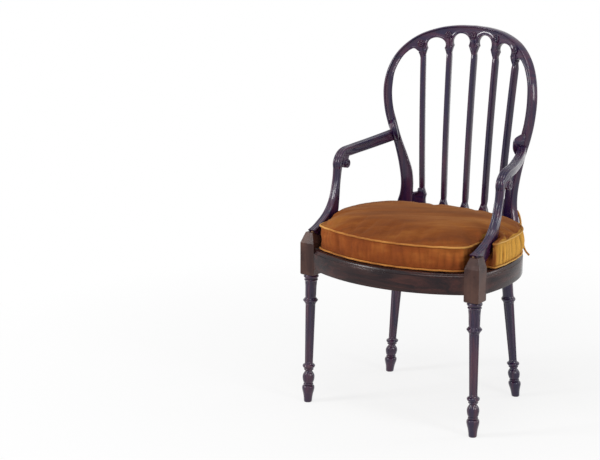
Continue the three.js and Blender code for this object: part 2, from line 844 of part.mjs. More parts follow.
function lowerRailOutline() {
  const points = [];
  const footZ = railTop + lowerRailRise;
  const edge = (z) => atHeight(innerLine, z).x - jointGap;
  const valley = (a, b) => Math.min(shareZ(a), shareZ(b)) - shareX(footValleyShare);
  const first = valley(footNeckShares[0], footNeckShares[0]);
  points.push(v2(-edge(footZ), footZ), v2(-edge(first), first));
  for (let i = 0; i < barFootShares.length; i += 1) {
    const x = shareX(barFootShares[i]);
    const neckZ = shareZ(footNeckShares[i]);
    const cuspZ = neckZ - footCuspShare * backHeight;
    const half = barWidth / 2 + barShoulder;
    const wide = headShares[i] * barWidth * footWidthShare;
    points.push(v2(x - wide, cuspZ), v2(x - half, neckZ), v2(x + half, neckZ), v2(x + wide, cuspZ));
    if (i + 1 < barFootShares.length) {
      const next = shareX(barFootShares[i + 1]);
      points.push(v2((x + next) / 2, valley(footNeckShares[i], footNeckShares[i + 1])));
    }
  }
  points.push(v2(edge(first), first), v2(edge(footZ), footZ));
  const bottom = steps(12).slice(1, 12).map((t) => v2(lerp(edge(footZ), -edge(footZ), t), footZ));
  points.push(...bottom);
  return points;
}

function lowerBackRail() {
  let rail = solidOf(bent(backPlate(lowerRailOutline(), backThickness, edgeRound / 2)));
  for (let i = 0; i < barFootShares.length; i += 1) {
    rail = rail.subtract(barTenons(i, jointGap)[1]);
  }
  for (const [, side] of sides) {
    rail = rail.subtract(stileSolid(side, jointGap, crestJointZ)).add(stayTenon(side, 0));
  }
  return rail;
}

// A bar's section: a raised bead between two flat edges.
const barSectionShares = [
  [-1, -0.4], [-0.6, -0.7], [-0.35, -1], [0.35, -1], [0.6, -0.7], [1, -0.4],
  [1, 0.7], [0.7, 1], [-0.7, 1], [-1, 0.7],
];

function backBar(i) {
  const foot = v2(shareX(barFootShares[i]), shareZ(footNeckShares[i]) + jointGap);
  const head = v2(shareX(barHeadShares[i]), shareZ(headNeckShares[i]) - jointGap);
  const section = barSectionShares.map(([x, y]) => v2((x * barWidth) / 2, (y * barThickness) / 2));
  const rings = steps(10).map((t) => {
    const x = lerp(foot.x, head.x, t);
    const z = lerp(foot.y, head.y, t);
    return section.map((point) => v3(x + point.x, point.y, z));
  });
  const [headTenon, footTenon] = barTenons(i, 0);
  return solidOf(bent(loft(rings, section))).add(headTenon).add(footTenon);
}

// Arms

// The arm's middle line from the stile to the knuckle: [share of the way out, share of the way
// forward to the scroll, share of the fall], and then the knuckle: [share of the way from the
// scroll to the support's top, share of the height over the support].
const armShares = [[0, 0, 0], [0.02, 0.2, 0.38], [0.3, 0.5, 0.75], [0.8, 0.85, 0.95]];
const knuckleShares = [[0.45, 0.97], [1, 0.66], [1, 0.3]];
const lapXShare = 0.895; // the leaf-shaped end and its screw, of the back's half width

function armCurve(side) {
  const start = backPoint(shareX(lapXShare), -backThickness / 4, armJointHeight);
  const rear = armShares.map(([out, forward, fall]) => v3(
    side * lerp(start.x, armX, out),
    lerp(start.y, scrollY, forward),
    lerp(armJointHeight, armMiddleHeight, fall),
  ));
  const front = knuckleShares.map(([forward, up]) => v3(
    side * armX,
    lerp(scrollY, supportTopY(), forward),
    lerp(armSupportTop, armMiddleHeight, up),
  ));
  const end = v3(side * armX, supportTopY(), armSupportTop + jointGap);
  return new THREE.CatmullRomCurve3([...rear, ...front, end], false, 'centripetal');
}

function supportTopY() {
  const top = supportFrontShares[supportFrontShares.length - 1];
  const back = supportBackShares[0];
  return ((top[0] + back[0]) / 2) * supportReach;
}

const armEdgeShare = 0.22;
const lapWidthShare = 0.52;
const lapRiseShare = 0.2; // the leaf reaches further up than down

function armSection() {
  return chamferedSection(armWidth, armDepth, armWidth * armEdgeShare);
}

function armLap(side) {
  const middle = backPoint(shareX(lapXShare), 0, armJointHeight + lapHalfHeight * lapRiseShare);
  const lobe = new THREE.SphereGeometry(1, 12, 10).rotateX(Math.PI / 2);
  lobe.scale(armWidth * lapWidthShare, lapReach, lapHalfHeight);
  lobe.rotateZ(Math.atan(backSlope(middle.x)));
  lobe.translate(middle.x, middle.y, middle.z);
  if (side < 0) lobe.scale(-1, 1, 1);
  return solidOf(lobe);
}

const webWidthShare = 0.8; // the web between the knuckle and the scroll
const webDropShare = 0.6;

function arm(side) {
  const rail = solidOf(sweep(curveFrames(armCurve(side), 22), armSection));
  const x = side * armX;
  const scrollZ = armMiddleHeight - scrollDrop;
  const half = armWidth / 2;
  const scroll = solidOf(pin(v3(x - half, scrollY, scrollZ), v3(x + half, scrollY, scrollZ), scrollRadius, 16));
  const web = solidOf(boxBetween(
    v3(x - half * webWidthShare, supportTopY() + armDepth / 4, scrollZ - scrollRadius * webDropShare),
    v3(x + half * webWidthShare, scrollY, armMiddleHeight),
  ));
  return rail.add(armLap(side)).add(scroll).add(web)
    .subtract(stileSolid(side, jointGap, armJointHeight + 3 * lapHalfHeight))
    .subtract(halfBehind(side))
    .subtract(solidOf(kneeDowel(side, jointGap)))
    .subtract(armScrewHole(side));
}

// Everything behind the middle of the stile's thickness, near the arm.
function halfBehind(side) {
  const reach = 2 * lapReach;
  const middleX = shareX(lapXShare);
  const low = backPoint(middleX - reach, 0, armJointHeight - 2 * lapHalfHeight);
  const high = backPoint(middleX + reach, 0, armJointHeight + 3 * lapHalfHeight);
  const corners = [v2(low.x, low.y), v2(high.x, high.y), v2(high.x, low.y + reach), v2(low.x, low.y + reach)];
  return solidOf(prism(corners.map(({ x, y }) => v2(side * x, y)), low.z, high.z));
}

// The support's front and back lines: [share of its reach, share of its height over the rail].
const supportFrontShares = [
  [-0.07, 0.25], [0.1, 0.275], [0.28, 0.325], [0.48, 0.405], [0.64, 0.51], [0.74, 0.63],
  [0.79, 0.76], [0.83, 0.88], [0.85, 1],
];
const supportBackShares = [
  [1.03, 1], [0.99, 0.88], [0.955, 0.76], [0.92, 0.6], [0.86, 0.42], [0.76, 0.29], [0.6, 0.2],
  [0.4, 0.1], [0.3, 0.03],
];

function supportOutline() {
  const height = armSupportTop - railTop;
  const place = ([out, up]) => v3(out * supportReach, railTop + up * height, 0);
  const line = (shares, count) => new THREE.CatmullRomCurve3(shares.map(place), false, 'centripetal')
    .getPoints(count).map(({ x, y }) => v2(x, y));
  const behindBlock = halfBlock + jointGap;
  const footZ = railTop + jointGap;
  const [front, back] = [line(supportFrontShares, 14), line(supportBackShares, 14)];
  const notch = [
    v2(back[back.length - 1].x, footZ), v2(behindBlock, footZ),
    v2(behindBlock, blockTop + jointGap), v2(front[0].x, blockTop + jointGap),
  ];
  return [...front, ...back, ...notch];
}

function armSupportSolid(side, grow) {
  const edge = edgeRound / 2;
  const depth = armSupportWidth + 2 * grow;
  const geometry = new THREE.ExtrudeGeometry(new THREE.Shape(supportOutline()), {
    depth: depth - 2 * edge,
    bevelEnabled: true,
    bevelThickness: edge,
    bevelSize: edge,
    bevelOffset: grow - edge,
    bevelSegments: 1,
  });
  geometry.translate(0, 0, edge - depth / 2);
  geometry.rotateX(Math.PI / 2).rotateZ(Math.PI / 2);
  geometry.translate(side * armSupportX, 0, 0);
  return solidOf(geometry);
}

function supportDowel(side, grow) {
  const low = v3(side * armSupportX, 0, blockTop - dowelLength / 2 - grow);
  const high = v3(side * armSupportX, 0, blockTop + dowelLength / 5 + grow);
  return pin(low, high, supportDowelRadius + grow);
}

function kneeDowel(side, grow) {
  const x = side * (armX + armSupportX) / 2;
  const low = v3(x, supportTopY(), armSupportTop - dowelLength / 2 - grow);
  const high = v3(x, supportTopY(), armSupportTop + dowelLength / 2 + grow);
  return pin(low, high, supportDowelRadius + grow);
}

function armSupport(side) {
  return armSupportSolid(side, 0)
    .subtract(solidOf(supportDowel(side, jointGap)))
    .subtract(solidOf(kneeDowel(side, jointGap)));
}

// The screw that holds each arm to its stile, from behind, with a wooden plug over its head

function armScrewLine(side, from, to) {
  const at = shareX(lapXShare);
  const [a, b] = [backPoint(at, from, armJointHeight), backPoint(at, to, armJointHeight)];
  return [v3(side * a.x, a.y, a.z), v3(side * b.x, b.y, b.z)];
}

const screwHeadDepthIn = backThickness / 2 - plugDepth;

function armScrew(side) {
  const [head, shoulder] = armScrewLine(side, screwHeadDepthIn, screwHeadDepthIn - screwHeadDepth);
  const [, tip] = armScrewLine(side, screwHeadDepthIn, screwHeadDepthIn - armScrewLength);
  return solidOf(pin(head, shoulder, screwHeadRadius)).add(solidOf(pin(head, tip, screwRadius, 8)));
}

function armScrewHole(side) {
  const [head, shoulder] = armScrewLine(side, backThickness, screwHeadDepthIn - screwHeadDepth - jointGap);
  const [, tip] = armScrewLine(side, 0, screwHeadDepthIn - armScrewLength - jointGap);
  return solidOf(pin(head, shoulder, screwHeadRadius + jointGap))
    .add(solidOf(pin(head, tip, screwRadius + jointGap, 8)));
}

function screwPlug(side) {
  const [outer, inner] = armScrewLine(side, backThickness / 2, screwHeadDepthIn + jointGap);
  return solidOf(pin(outer, inner, screwHeadRadius));
}

// Corner blocks under the cane, cut to the rails, each held by two screws

function cornerPlace(name) {
  const side = name.endsWith('left') ? -1 : 1;
  const isFront = name.startsWith('front');
  const x = side * (isFront ? blockInnerX - jointGap : postInnerX);
  const y = isFront ? halfBlock + jointGap : railMiddleY(postInnerX) - railWidth / 2;
  return { side, isFront, x, y };
}

function cornerBlock(name) {
  const { side, isFront, x, y } = cornerPlace(name);
  const forward = isFront ? 1 : -1;
  const outX = x + side * cornerBlockLeg * 2;
  const outline = [
    v2(x - side * cornerBlockLeg, y),
    v2(x - side * cornerBlockLeg, y - forward * cornerBlockLeg * 2),
    v2(outX, y - forward * cornerBlockLeg * 2),
    v2(outX, y + forward * cornerBlockLeg),
    v2(x + side * jointGap, y + forward * cornerBlockLeg),
  ];
  const bottom = railBottom + cornerBlockRise;
  const rough = solidOf(prism(outline, bottom, bottom + cornerBlockDepth));
  const legTop = v3(side * rearHeadX, rearHeadY, railBottom);
  const legStub = pin(
    legTop.clone().setZ(railBottom - overrun), legTop.clone().setZ(railTop), rearCollarRadius,
  );
  const fitted = rough.intersect(insideRails(railWidth + jointGap, bottom - overrun, railTop))
    .subtract(blockBox(side, jointGap)).subtract(solidOf(legStub));
  return cornerScrewLines(name).reduce(
    (solid, [from, to]) => solid.subtract(screwSolid(from, to, jointGap)), fitted,
  );
}

// Each screw goes level from the block's open face into a rail.
function cornerScrewLines(name) {
  const { side, isFront, x, y } = cornerPlace(name);
  const forward = isFront ? 1 : -1;
  const z = railBottom + cornerBlockRise + cornerBlockDepth / 2;
  const toFront = x - side * (cornerBlockLeg - screwInset);
  const toSide = y + forward * (cornerBlockLeg - screwInset);
  const start = v3(toFront, y - forward * jointGap, z);
  return [
    [start, start.clone().add(v3(0, -forward * blockScrewLength, 0))],
    [v3(x + side * jointGap, toSide, z), v3(x + side * (jointGap + blockScrewLength), toSide, z)],
  ];
}

function screwSolid(from, to, grow) {
  const along = to.clone().sub(from).normalize();
  const head = from.clone().addScaledVector(along, screwHeadDepth + grow);
  const back = from.clone().addScaledVector(along, grow > 0 ? -cornerBlockLeg : 0);
  const tip = to.clone().addScaledVector(along, grow);
  return solidOf(pin(back, head, screwHeadRadius + grow)).add(solidOf(pin(from, tip, screwRadius + grow, 6)));
}

// Cane and cushion

function canePanel() {
  const bottom = railTop - rebateDepth + jointGap;
  const inset = railWidth - rebateWidth + jointGap;
  return sides.reduce(
    (solid, [, side]) => solid.subtract(blockBox(side, jointGap)),
    insideRails(inset, bottom, bottom + caneThickness),
  );
}

// y of the cushion's rear edge at x.
function cushionRearY(x) {
  const share = 1 - (Math.abs(x) / (seatHalfWidth - cushionSideInset)) ** cushionSquareness;
  return seatWidestBehind + cushionRearReach * Math.max(share, 0) ** (1 / cushionSquareness);
}

const cushionFrontShares = [0, 0.35, 0.7, 0.92]; // places along the front edge, to its corner
const cushionLobeShare = 0.4; // the fullest place beside the arm support

// The cushion's edge in plan: the middle of the front, the right side, the back and the left.
function cushionOutline() {
  const cornerX = blockInnerX - softGap - pipingRadius * 2;
  const waistX = seatHalfWidth - sideTaper - blockWidth - softGap;
  const wideX = seatHalfWidth - cushionSideInset;
  const front = cushionFrontShares.map((share) => {
    const x = cornerX * share;
    return v2(x, frontFaceY(x) + cushionFrontInset);
  });
  const side = [
    v2(cornerX, -halfBlock / 4), v2(waistX, halfBlock), v2(waistX, blockWidth),
    v2(legX - halfBlock / 4, blockWidth + halfBlock),
    v2(wideX - pipingRadius, blockWidth + halfBlock + softGap),
    v2(wideX, lerp(2 * blockWidth, seatWidestBehind, cushionLobeShare)),
  ];
  const rear = steps(7).map((t) => {
    const x = wideX * Math.cos((t * Math.PI) / 2);
    return v2(x, cushionRearY(x));
  });
  rear[rear.length - 1].x = 0;
  const half = [...front, ...side, ...rear];
  const mirrored = half.slice(1, -1).reverse().map(mirrorPoint);
  const moved = [...half, ...mirrored].map(({ x, y }) => {
    const share = THREE.MathUtils.clamp(y / seatWidestBehind, 0, 1);
    return v3(x + cushionShift * share, y, 0);
  });
  const curve = new THREE.CatmullRomCurve3(moved, true, 'centripetal');
  return curve.getPoints(52).slice(0, 52).map(({ x, y }) => v2(x, y));
}

// The cushion's rings from its underside over the side to the crown:
// [share of the outline, share of the thickness, share of the crown, share of the draw-in].
const cushionRingShares = [
  [0.5, 0, 0, 0], [0.96, 0, 0, 0], [0.99, 0.03, 0, 0], [1, 0.07, 0, -0.6], [1, 0.13, 0, 0.2],
  [1, 0.34, 0, 0.9], [1, 0.64, 0, 0.9], [1, 0.88, 0, 0.2], [1, 0.95, 0, -0.6],
  [0.985, 1, 0, 0], [0.9, 1.02, 0.3, 0], [0.7, 1.02, 0.72, 0], [0.4, 1.02, 0.95, 0], [0.15, 1.02, 1, 0],
];

const cushionBottom = railTop + jointGap;

function cushion() {
  const outline = cushionOutline();
  const middle = v2(0, seatWidestBehind);
  const rings = cushionRingShares.map(([out, up, crown, drawn]) => outline.map((point) => {
    const arm = point.clone().sub(middle);
    arm.setLength(arm.length() * out - cushionDrawIn * drawn);
    const z = cushionBottom + up * cushionThickness + crown * cushionCrown;
    return v3(middle.x + arm.x, middle.y + arm.y, z);
  }));
  let solid = solidOf(loft(rings, outline));
  for (const [, side] of sides) {
    solid = solid.subtract(armSupportSolid(side, softGap)).subtract(blockBox(side, softGap));
  }
  return solid;
}

// Ties: a loop from the cushion's edge round each stile, with a knot, a bow and two tails

// A closed round tube through the given points.
function closedTube(points, radius, sideCount, count, up) {
  const curve = new THREE.CatmullRomCurve3(points, true, 'centripetal');
  const section = roundSection(radius, sideCount);
  const frames = Array.from({ length: count }, (_, i) => {
    const at = curve.getPoint(i / count);
    const along = curve.getTangent(i / count);
    return { at, side: along.cross(up).normalize(), up };
  });
  return solidOf(sweep(frames, () => section, true));
}

function tieLoop(side) {
  const clear = tieRadius / 2;
  const outer = atHeight(outerLine, tieHeight).x + clear;
  const inner = atHeight(innerLine, tieHeight).x - clear;
  const depth = backThickness / 2 + clear;
  const around = [v2(inner, -depth), v2(inner, depth), v2(outer, depth), v2(outer, -depth)];
  const path = around.map(({ x, y }) => backPoint(x, y, tieHeight));
  const start = v3(inner, cushionRearY(inner - side * cushionShift) + clear, tieHeight);
  const points = [start, ...path].map(({ x, y, z }) => v3(side * x, y, z));
  return closedTube(points, tieRadius, 6, 20, v3(0, 0, 1));
}

function knotPlace(side) {
  const outer = atHeight(outerLine, tieHeight).x;
  const point = backPoint(outer, backThickness / 2 + knotRadius, tieHeight);
  return v3(side * point.x, point.y, point.z);
}

// The bow stands up behind the stile from its knot: [share of its width, share of its height].
const bowShares = [[0, 0], [0.4, 0.3], [0.5, 0.75], [0, 1], [-0.5, 0.75], [-0.4, 0.3]];

function bow(side) {
  const knot = knotPlace(side);
  const points = bowShares.map(([out, up]) => v3(
    knot.x + side * out * bowWidth,
    knot.y,
    knot.z + up * bowHeight,
  ));
  return closedTube(points, tieRadius, 6, 16, v3(0, 1, 0));
}

function tie(side) {
  const at = knotPlace(side);
  const knot = new THREE.SphereGeometry(knotRadius, 8, 6).translate(at.x, at.y, at.z);
  return tieLoop(side).add(bow(side)).add(solidOf(knot))
    .subtract(stileSolid(side, jointGap, crestJointZ)).subtract(cushion());
}

// Each tail falls from its knot, and its end curls away from the chair:
// [outwards, backwards, up] as shares of its drop.
const tailShares = {
  outer: [[0, 0, 0], [0.03, 0.05, -0.2], [0.1, 0.08, -0.55], [0.2, 0.08, -0.8], [0.32, 0.07, -1]],
  rear: [[0, 0, 0], [-0.04, 0.1, -0.2], [-0.04, 0.15, -0.5], [-0.01, 0.17, -0.75], [0.03, 0.18, -0.95]],
};

function tail(side, which) {
  const knot = knotPlace(side);
  const out = which === 'outer' ? 1 : -1;
  const start = knot.clone().add(v3(side * out * (tieRadius + jointGap), 0, -knotRadius - jointGap));
  const points = tailShares[which].map(([outward, back, up]) => start.clone()
    .add(v3(side * outward, back, up).multiplyScalar(tailDrop)));
  const extrudePath = new THREE.CatmullRomCurve3(points, false, 'centripetal');
  const shape = new THREE.Shape(roundSection(tieRadius, 8));
  return solidOf(new THREE.ExtrudeGeometry(shape, { steps: 11, bevelEnabled: false, extrudePath }));
}

// Assembly

const chair = new THREE.Group();

function addPiece(name, solid, look) {
  const mesh = new THREE.Mesh(geometryOf(solid), new THREE.MeshStandardMaterial(look));
  mesh.name = name;
  chair.add(mesh);
}

for (const [name, side] of sides) {
  addPiece(`front_leg_${name}`, frontLeg(side), mahogany);
  addPiece(`rear_post_${name}`, rearPost(side), mahogany);
  addPiece(`side_rail_${name}`, sideRail(side), mahogany);
  addPiece(`arm_${name}`, arm(side), darkMahogany);
  addPiece(`arm_support_${name}`, armSupport(side), darkMahogany);
  addPiece(`support_dowel_${name}`, solidOf(supportDowel(side, 0)), plainBeech);
  addPiece(`knuckle_dowel_${name}`, solidOf(kneeDowel(side, 0)), plainBeech);
  addPiece(`arm_screw_${name}`, armScrew(side), iron);
  addPiece(`screw_plug_${name}`, screwPlug(side), darkMahogany);
  addPiece(`cushion_tie_${name}`, tie(side), velvet);
  addPiece(`tie_tail_${name}_outer`, tail(side, 'outer'), velvet);
  addPiece(`tie_tail_${name}_rear`, tail(side, 'rear'), velvet);
}

addPiece('front_rail', frontRail(), mahogany);
addPiece('rear_rail', rearRail(), mahogany);
addPiece('crest_rail', crestRail(), darkMahogany);
addPiece('lower_back_rail', lowerBackRail(), darkMahogany);

for (let i = 0; i < barHeadShares.length; i += 1) {
  addPiece(`back_bar_${i + 1}`, backBar(i), mahogany);
}

for (const name of cornerNames) {
  addPiece(`corner_block_${name}`, cornerBlock(name), plainBeech);
  cornerScrewLines(name).forEach(([from, to], i) => {
    addPiece(`block_screw_${name}_${i + 1}`, screwSolid(from, to, 0), iron);
  });
}

addPiece('cane_seat', canePanel(), caneColour);
addPiece('squab_cushion', cushion(), velvet);

const bounds = new THREE.Box3().setFromObject(chair);
chair.position.set(-(bounds.min.x + bounds.max.x) / 2, -(bounds.min.y + bounds.max.y) / 2, -bounds.min.z);

export default chair;
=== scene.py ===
import math

import bmesh
import bpy
import numpy as np
from mathutils import Matrix, Vector
from mathutils.geometry import delaunay_2d_cdt


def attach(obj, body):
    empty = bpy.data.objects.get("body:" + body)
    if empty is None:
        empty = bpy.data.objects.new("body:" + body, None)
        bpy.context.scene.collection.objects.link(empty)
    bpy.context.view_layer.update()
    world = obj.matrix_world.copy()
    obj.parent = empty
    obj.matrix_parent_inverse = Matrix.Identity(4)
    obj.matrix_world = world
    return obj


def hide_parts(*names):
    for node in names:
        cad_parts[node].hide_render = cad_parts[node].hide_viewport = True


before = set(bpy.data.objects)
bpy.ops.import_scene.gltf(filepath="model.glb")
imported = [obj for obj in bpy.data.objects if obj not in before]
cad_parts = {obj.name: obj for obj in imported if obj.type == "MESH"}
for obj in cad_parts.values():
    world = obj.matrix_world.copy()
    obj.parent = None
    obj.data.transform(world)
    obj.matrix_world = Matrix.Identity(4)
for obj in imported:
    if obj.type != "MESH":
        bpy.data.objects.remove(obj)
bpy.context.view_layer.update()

# A hoop-back open armchair with a loose velvet cushion. Metres, +Z up, front towards -Y.
# Every piece is drawn with y = 0 on the front leg axes and moved to the frame's origin at the end.

MM = 0.001
AXES_TO_FRAME = Vector((0, -175.12 * MM, 0))
SIDES = (("left", -1), ("right", 1))

# Seat frame, in millimetres
BLOCK = 41
BLOCK_BOTTOM = 345
BLOCK_SHOULDER = 430
BLOCK_TOP = 457
BLOCK_HEAD = 21
BLOCK_CHAMFER = 2.5
RAIL_BOTTOM = 363
RAIL_DEPTH = 52
RAIL_WIDTH = 38
RAIL_TOP = RAIL_BOTTOM + RAIL_DEPTH
FRONT_BOW = 60
SEAT_HALF = 268
SIDE_TAPER = 10.5
WIDEST_Y = 120
SEAT_REACH = 275
SQUARENESS = 2.12
LEG_X = SEAT_HALF - SIDE_TAPER - BLOCK / 2
JOINT_GAP = 0.3
POST_IN_X = 130
POST_OUT_X = 186

# Back, in millimetres
BACK_HEIGHT = 539
BACK_HALF = 221
BACK_THICK = 20
BACK_Y = 375
LEAN = 22
LEAN_BEND = 24
REAR_HEAD_X = 158
STILE_Y = WIDEST_Y + SEAT_REACH * (1 - (REAR_HEAD_X / SEAT_HALF) ** SQUARENESS) ** (1 / SQUARENESS) - 10
HOLLOW = (BACK_Y - STILE_Y) * (BACK_HALF / REAR_HEAD_X) ** 2
CREST_JOINT_Z = RAIL_TOP + 0.75 * BACK_HEIGHT
BAR_WIDTH = 15
BAR_THICK = 18
BAR_BODY = 13.6
BAR_SET_BACK = 1.5
BAR_RUN = 14
LOWER_RAIL_Z = RAIL_TOP + 38
BAR_HEADS = (-0.605, -0.304, 0.011, 0.31, 0.618)
BAR_FEET = (-0.53, -0.267, 0.01, 0.276, 0.516)
HEAD_NECKS = (0.842, 0.86, 0.866, 0.86, 0.842)
FOOT_NECKS = (0.205, 0.153, 0.148, 0.153, 0.205)
HEAD_CUSPS = ((0.857, 0.878), (0.884, 0.896), (0.904, 0.904), (0.896, 0.884), (0.878, 0.857))
HEAD_WIDTHS = (0.74, 0.76, 0.92, 0.76, 0.74)
NECK_DROP = 0.012
ARCH_TOPS = (0.934, 0.96, 0.96, 0.934)

# Arms, in millimetres
ARM_X = LEG_X - 1
SUPPORT_X = LEG_X - 5
SUPPORT_REACH = 131
SUPPORT_WIDTH = 22
ARM_WIDTH = 22.5
ARM_DEPTH = (28.5, 26.5, 25, 18.6)
ARM_JOINT_Z = RAIL_TOP + 0.475 * BACK_HEIGHT
ARM_Z = ARM_JOINT_Z - 32
SUPPORT_TOP = ARM_Z - 39
SCROLL_Y = 166
SCROLL_Z = ARM_Z - 31

# Cushion and ties, in millimetres
CUSHION_BOTTOM = RAIL_TOP + JOINT_GAP
CUSHION_THICK = 66
TIE_RADIUS = 2.6
TIE_Z = 439
KNOT_RADIUS = 6.5
BOW_HEIGHT = 56
BOW_WIDTH = 9
BOW_LEAN = 12
KNOT_IN = 5
TAIL_DROP = 62


# Camera: places in metres, the lens and the sensor in millimetres

EYE = (2.322, -4.161, 1.653)
TARGET = (-0.610, 0.345, 0.3)
LENS = 114.665
SENSOR = 36


def look(item, place, target):
    """Puts a camera or a lamp in its place and turns it to its target."""
    item.location = place
    item.rotation_euler = (Vector(target) - Vector(place)).to_track_quat("-Z", "Y").to_euler()


def add_camera():
    bpy.ops.object.camera_add()
    camera = bpy.context.object
    camera.name = "camera"
    camera.data.sensor_width = SENSOR
    camera.data.lens = LENS
    camera.data.clip_end = 100
    look(camera, EYE, TARGET)
    bpy.context.scene.camera = camera


# Lines

def lerp(a, b, t):
    return a + (b - a) * t


def steps(count):
    return [i / count for i in range(count + 1)]


def turn_angles(count):
    """Evenly spaced angles of one whole turn."""
    return [2 * math.pi * i / count for i in range(count)]


def across_of(along):
    """Unit normals to the left of flat directions."""
    along = along / np.maximum(np.linalg.norm(along, axis=1), 1e-9)[:, None]
    return np.stack([-along[:, 1], along[:, 0]], axis=1)


def smooth_line(points, count, closed=False):
    """A smooth line through the points, as count + 1 points, or count where it is closed."""
    points = [Vector(p) for p in points]
    spans = len(points) if closed else len(points) - 1
    result = []
    for k in range(count if closed else count + 1):
        place = k / count * spans
        i = min(int(place), spans - 1)
        t = place - i
        if closed:
            p0, p1, p2, p3 = (points[(i + j) % len(points)] for j in (-1, 0, 1, 2))
        else:
            p1, p2 = points[i], points[i + 1]
            p0 = points[i - 1] if i > 0 else 2 * p1 - p2
            p3 = points[i + 2] if i + 2 < len(points) else 2 * p2 - p1
        d0 = max((p1 - p0).length ** 0.5, 1e-4)
        d1 = max((p2 - p1).length ** 0.5, 1e-4)
        d2 = max((p3 - p2).length ** 0.5, 1e-4)
        m1 = ((p1 - p0) / d0 - (p2 - p0) / (d0 + d1) + (p2 - p1) / d1) * d1
        m2 = ((p2 - p1) / d1 - (p3 - p1) / (d1 + d2) + (p3 - p2) / d2) * d1
        c2 = 3 * (p2 - p1) - 2 * m1 - m2
        c3 = 2 * (p1 - p2) + m1 + m2
        result.append(p1 + m1 * t + c2 * t * t + c3 * t ** 3)
    return result


def flat_line(points, count, closed=False):
    """A smooth line through flat points, as pairs."""
    return [(p.x, p.y) for p in smooth_line([(*point, 0) for point in points], count, closed)]


def spaced(points, spacing):
    """The same line, as pairs with an even spacing; its own ends are kept."""
    points = np.array(points, dtype=float)
    lengths = np.concatenate([[0], np.cumsum(np.linalg.norm(np.diff(points, axis=0), axis=1))])
    count = max(int(round(lengths[-1] / spacing)), 2)
    at = np.linspace(0, lengths[-1], count + 1)
    return list(zip(np.interp(at, lengths, points[:, 0]), np.interp(at, lengths, points[:, 1])))


def value_at(table, x):
    """A value read off a table of (place, value) pairs."""
    return float(np.interp(x, [row[0] for row in table], [row[1] for row in table]))


# The back, drawn flat as (x, depth, z) and bent to its hollow and its lean

def back_y(x, z):
    up = (z - RAIL_TOP) / BACK_HEIGHT
    return BACK_Y + LEAN * up + LEAN_BEND * up * up - HOLLOW * (x / BACK_HALF) ** 2


def back_slope(x):
    return -2 * HOLLOW * x / BACK_HALF ** 2


def back_point(x, depth, z):
    slope = back_slope(x)
    length = math.hypot(slope, 1)
    return Vector((x - depth * slope / length, back_y(x, z) + depth / length, z))


def share_x(share):
    return share * BACK_HALF


def share_z(share):
    return RAIL_TOP + share * BACK_HEIGHT


OUTER_SHARES = (
    (0.828, -0.04), (0.821, 0.08), (0.797, 0.125), (0.774, 0.165), (0.768, 0.223), (0.798, 0.31),
    (0.858, 0.412), (0.937, 0.51), (0.983, 0.592), (1, 0.701), (0.952, 0.801), (0.853, 0.876),
    (0.683, 0.939), (0.457, 0.978), (0.235, 0.995), (0, 1),
)
INNER_SHARES = (
    (0.6, -0.04), (0.612, 0.08), (0.622, 0.125), (0.631, 0.165), (0.634, 0.217), (0.652, 0.276),
    (0.706, 0.345), (0.789, 0.438), (0.849, 0.523), (0.888, 0.583), (0.91, 0.649), (0.912, 0.701),
    (0.893, 0.772), (0.82, 0.84), (0.76, 0.868),
)


def back_line(shares):
    return flat_line([(share_x(out), share_z(up)) for out, up in shares], 400)


OUTER_LINE = back_line(OUTER_SHARES)
INNER_LINE = back_line(INNER_SHARES)


def at_height(line, z):
    """x of a rising line at a height."""
    for (x1, z1), (x2, z2) in zip(line, line[1:]):
        if z1 <= z <= z2:
            return lerp(x1, x2, (z - z1) / max(z2 - z1, 1e-9))
    return line[0][0] if z < line[0][1] else line[-1][0]


# Selecting and shaping

def deselect():
    for item in bpy.context.selected_objects:
        item.select_set(False)


def use(piece):
    deselect()
    piece.select_set(True)
    bpy.context.view_layer.objects.active = piece


def edit(piece):
    use(piece)
    bpy.ops.object.mode_set(mode="EDIT")


def leave():
    bpy.ops.object.mode_set(mode="OBJECT")


def start(primitive, name, **sizes):
    """A primitive, alone in the selection and in edit mode."""
    deselect()
    primitive(**sizes)
    piece = bpy.context.object
    piece.name = piece.data.name = name
    bpy.ops.object.mode_set(mode="EDIT")
    return piece


def pick_faces(piece, wanted):
    """Selects the faces whose middle and normal are wanted."""
    bpy.ops.mesh.select_mode(type="FACE")
    bpy.ops.mesh.select_all(action="DESELECT")
    shape = bmesh.from_edit_mesh(piece.data)
    for face in shape.faces:
        face.select_set(wanted(face.calc_center_median(), face.normal))
    shape.select_flush(True)
    bmesh.update_edit_mesh(piece.data)


def apply(piece, kind, **settings):
    """Adds a modifier and applies it."""
    use(piece)
    modifier = piece.modifiers.new(kind.lower(), kind)
    for key, value in settings.items():
        setattr(modifier, key, value)
    bpy.ops.object.modifier_apply(modifier=modifier.name)


def outward(piece):
    edit(piece)
    bpy.ops.mesh.select_all(action="SELECT")
    bpy.ops.mesh.remove_doubles(threshold=1e-6)
    bpy.ops.mesh.normals_make_consistent(inside=False)
    leave()


def smooth(piece, degrees=38):
    use(piece)
    bpy.ops.object.shade_smooth_by_angle(angle=math.radians(degrees))


def joined(name, pieces):
    use(pieces[0])
    for piece in pieces[1:]:
        piece.select_set(True)
    if len(pieces) > 1:
        bpy.ops.object.join()
    piece = bpy.context.object
    piece.name = piece.data.name = name
    return piece


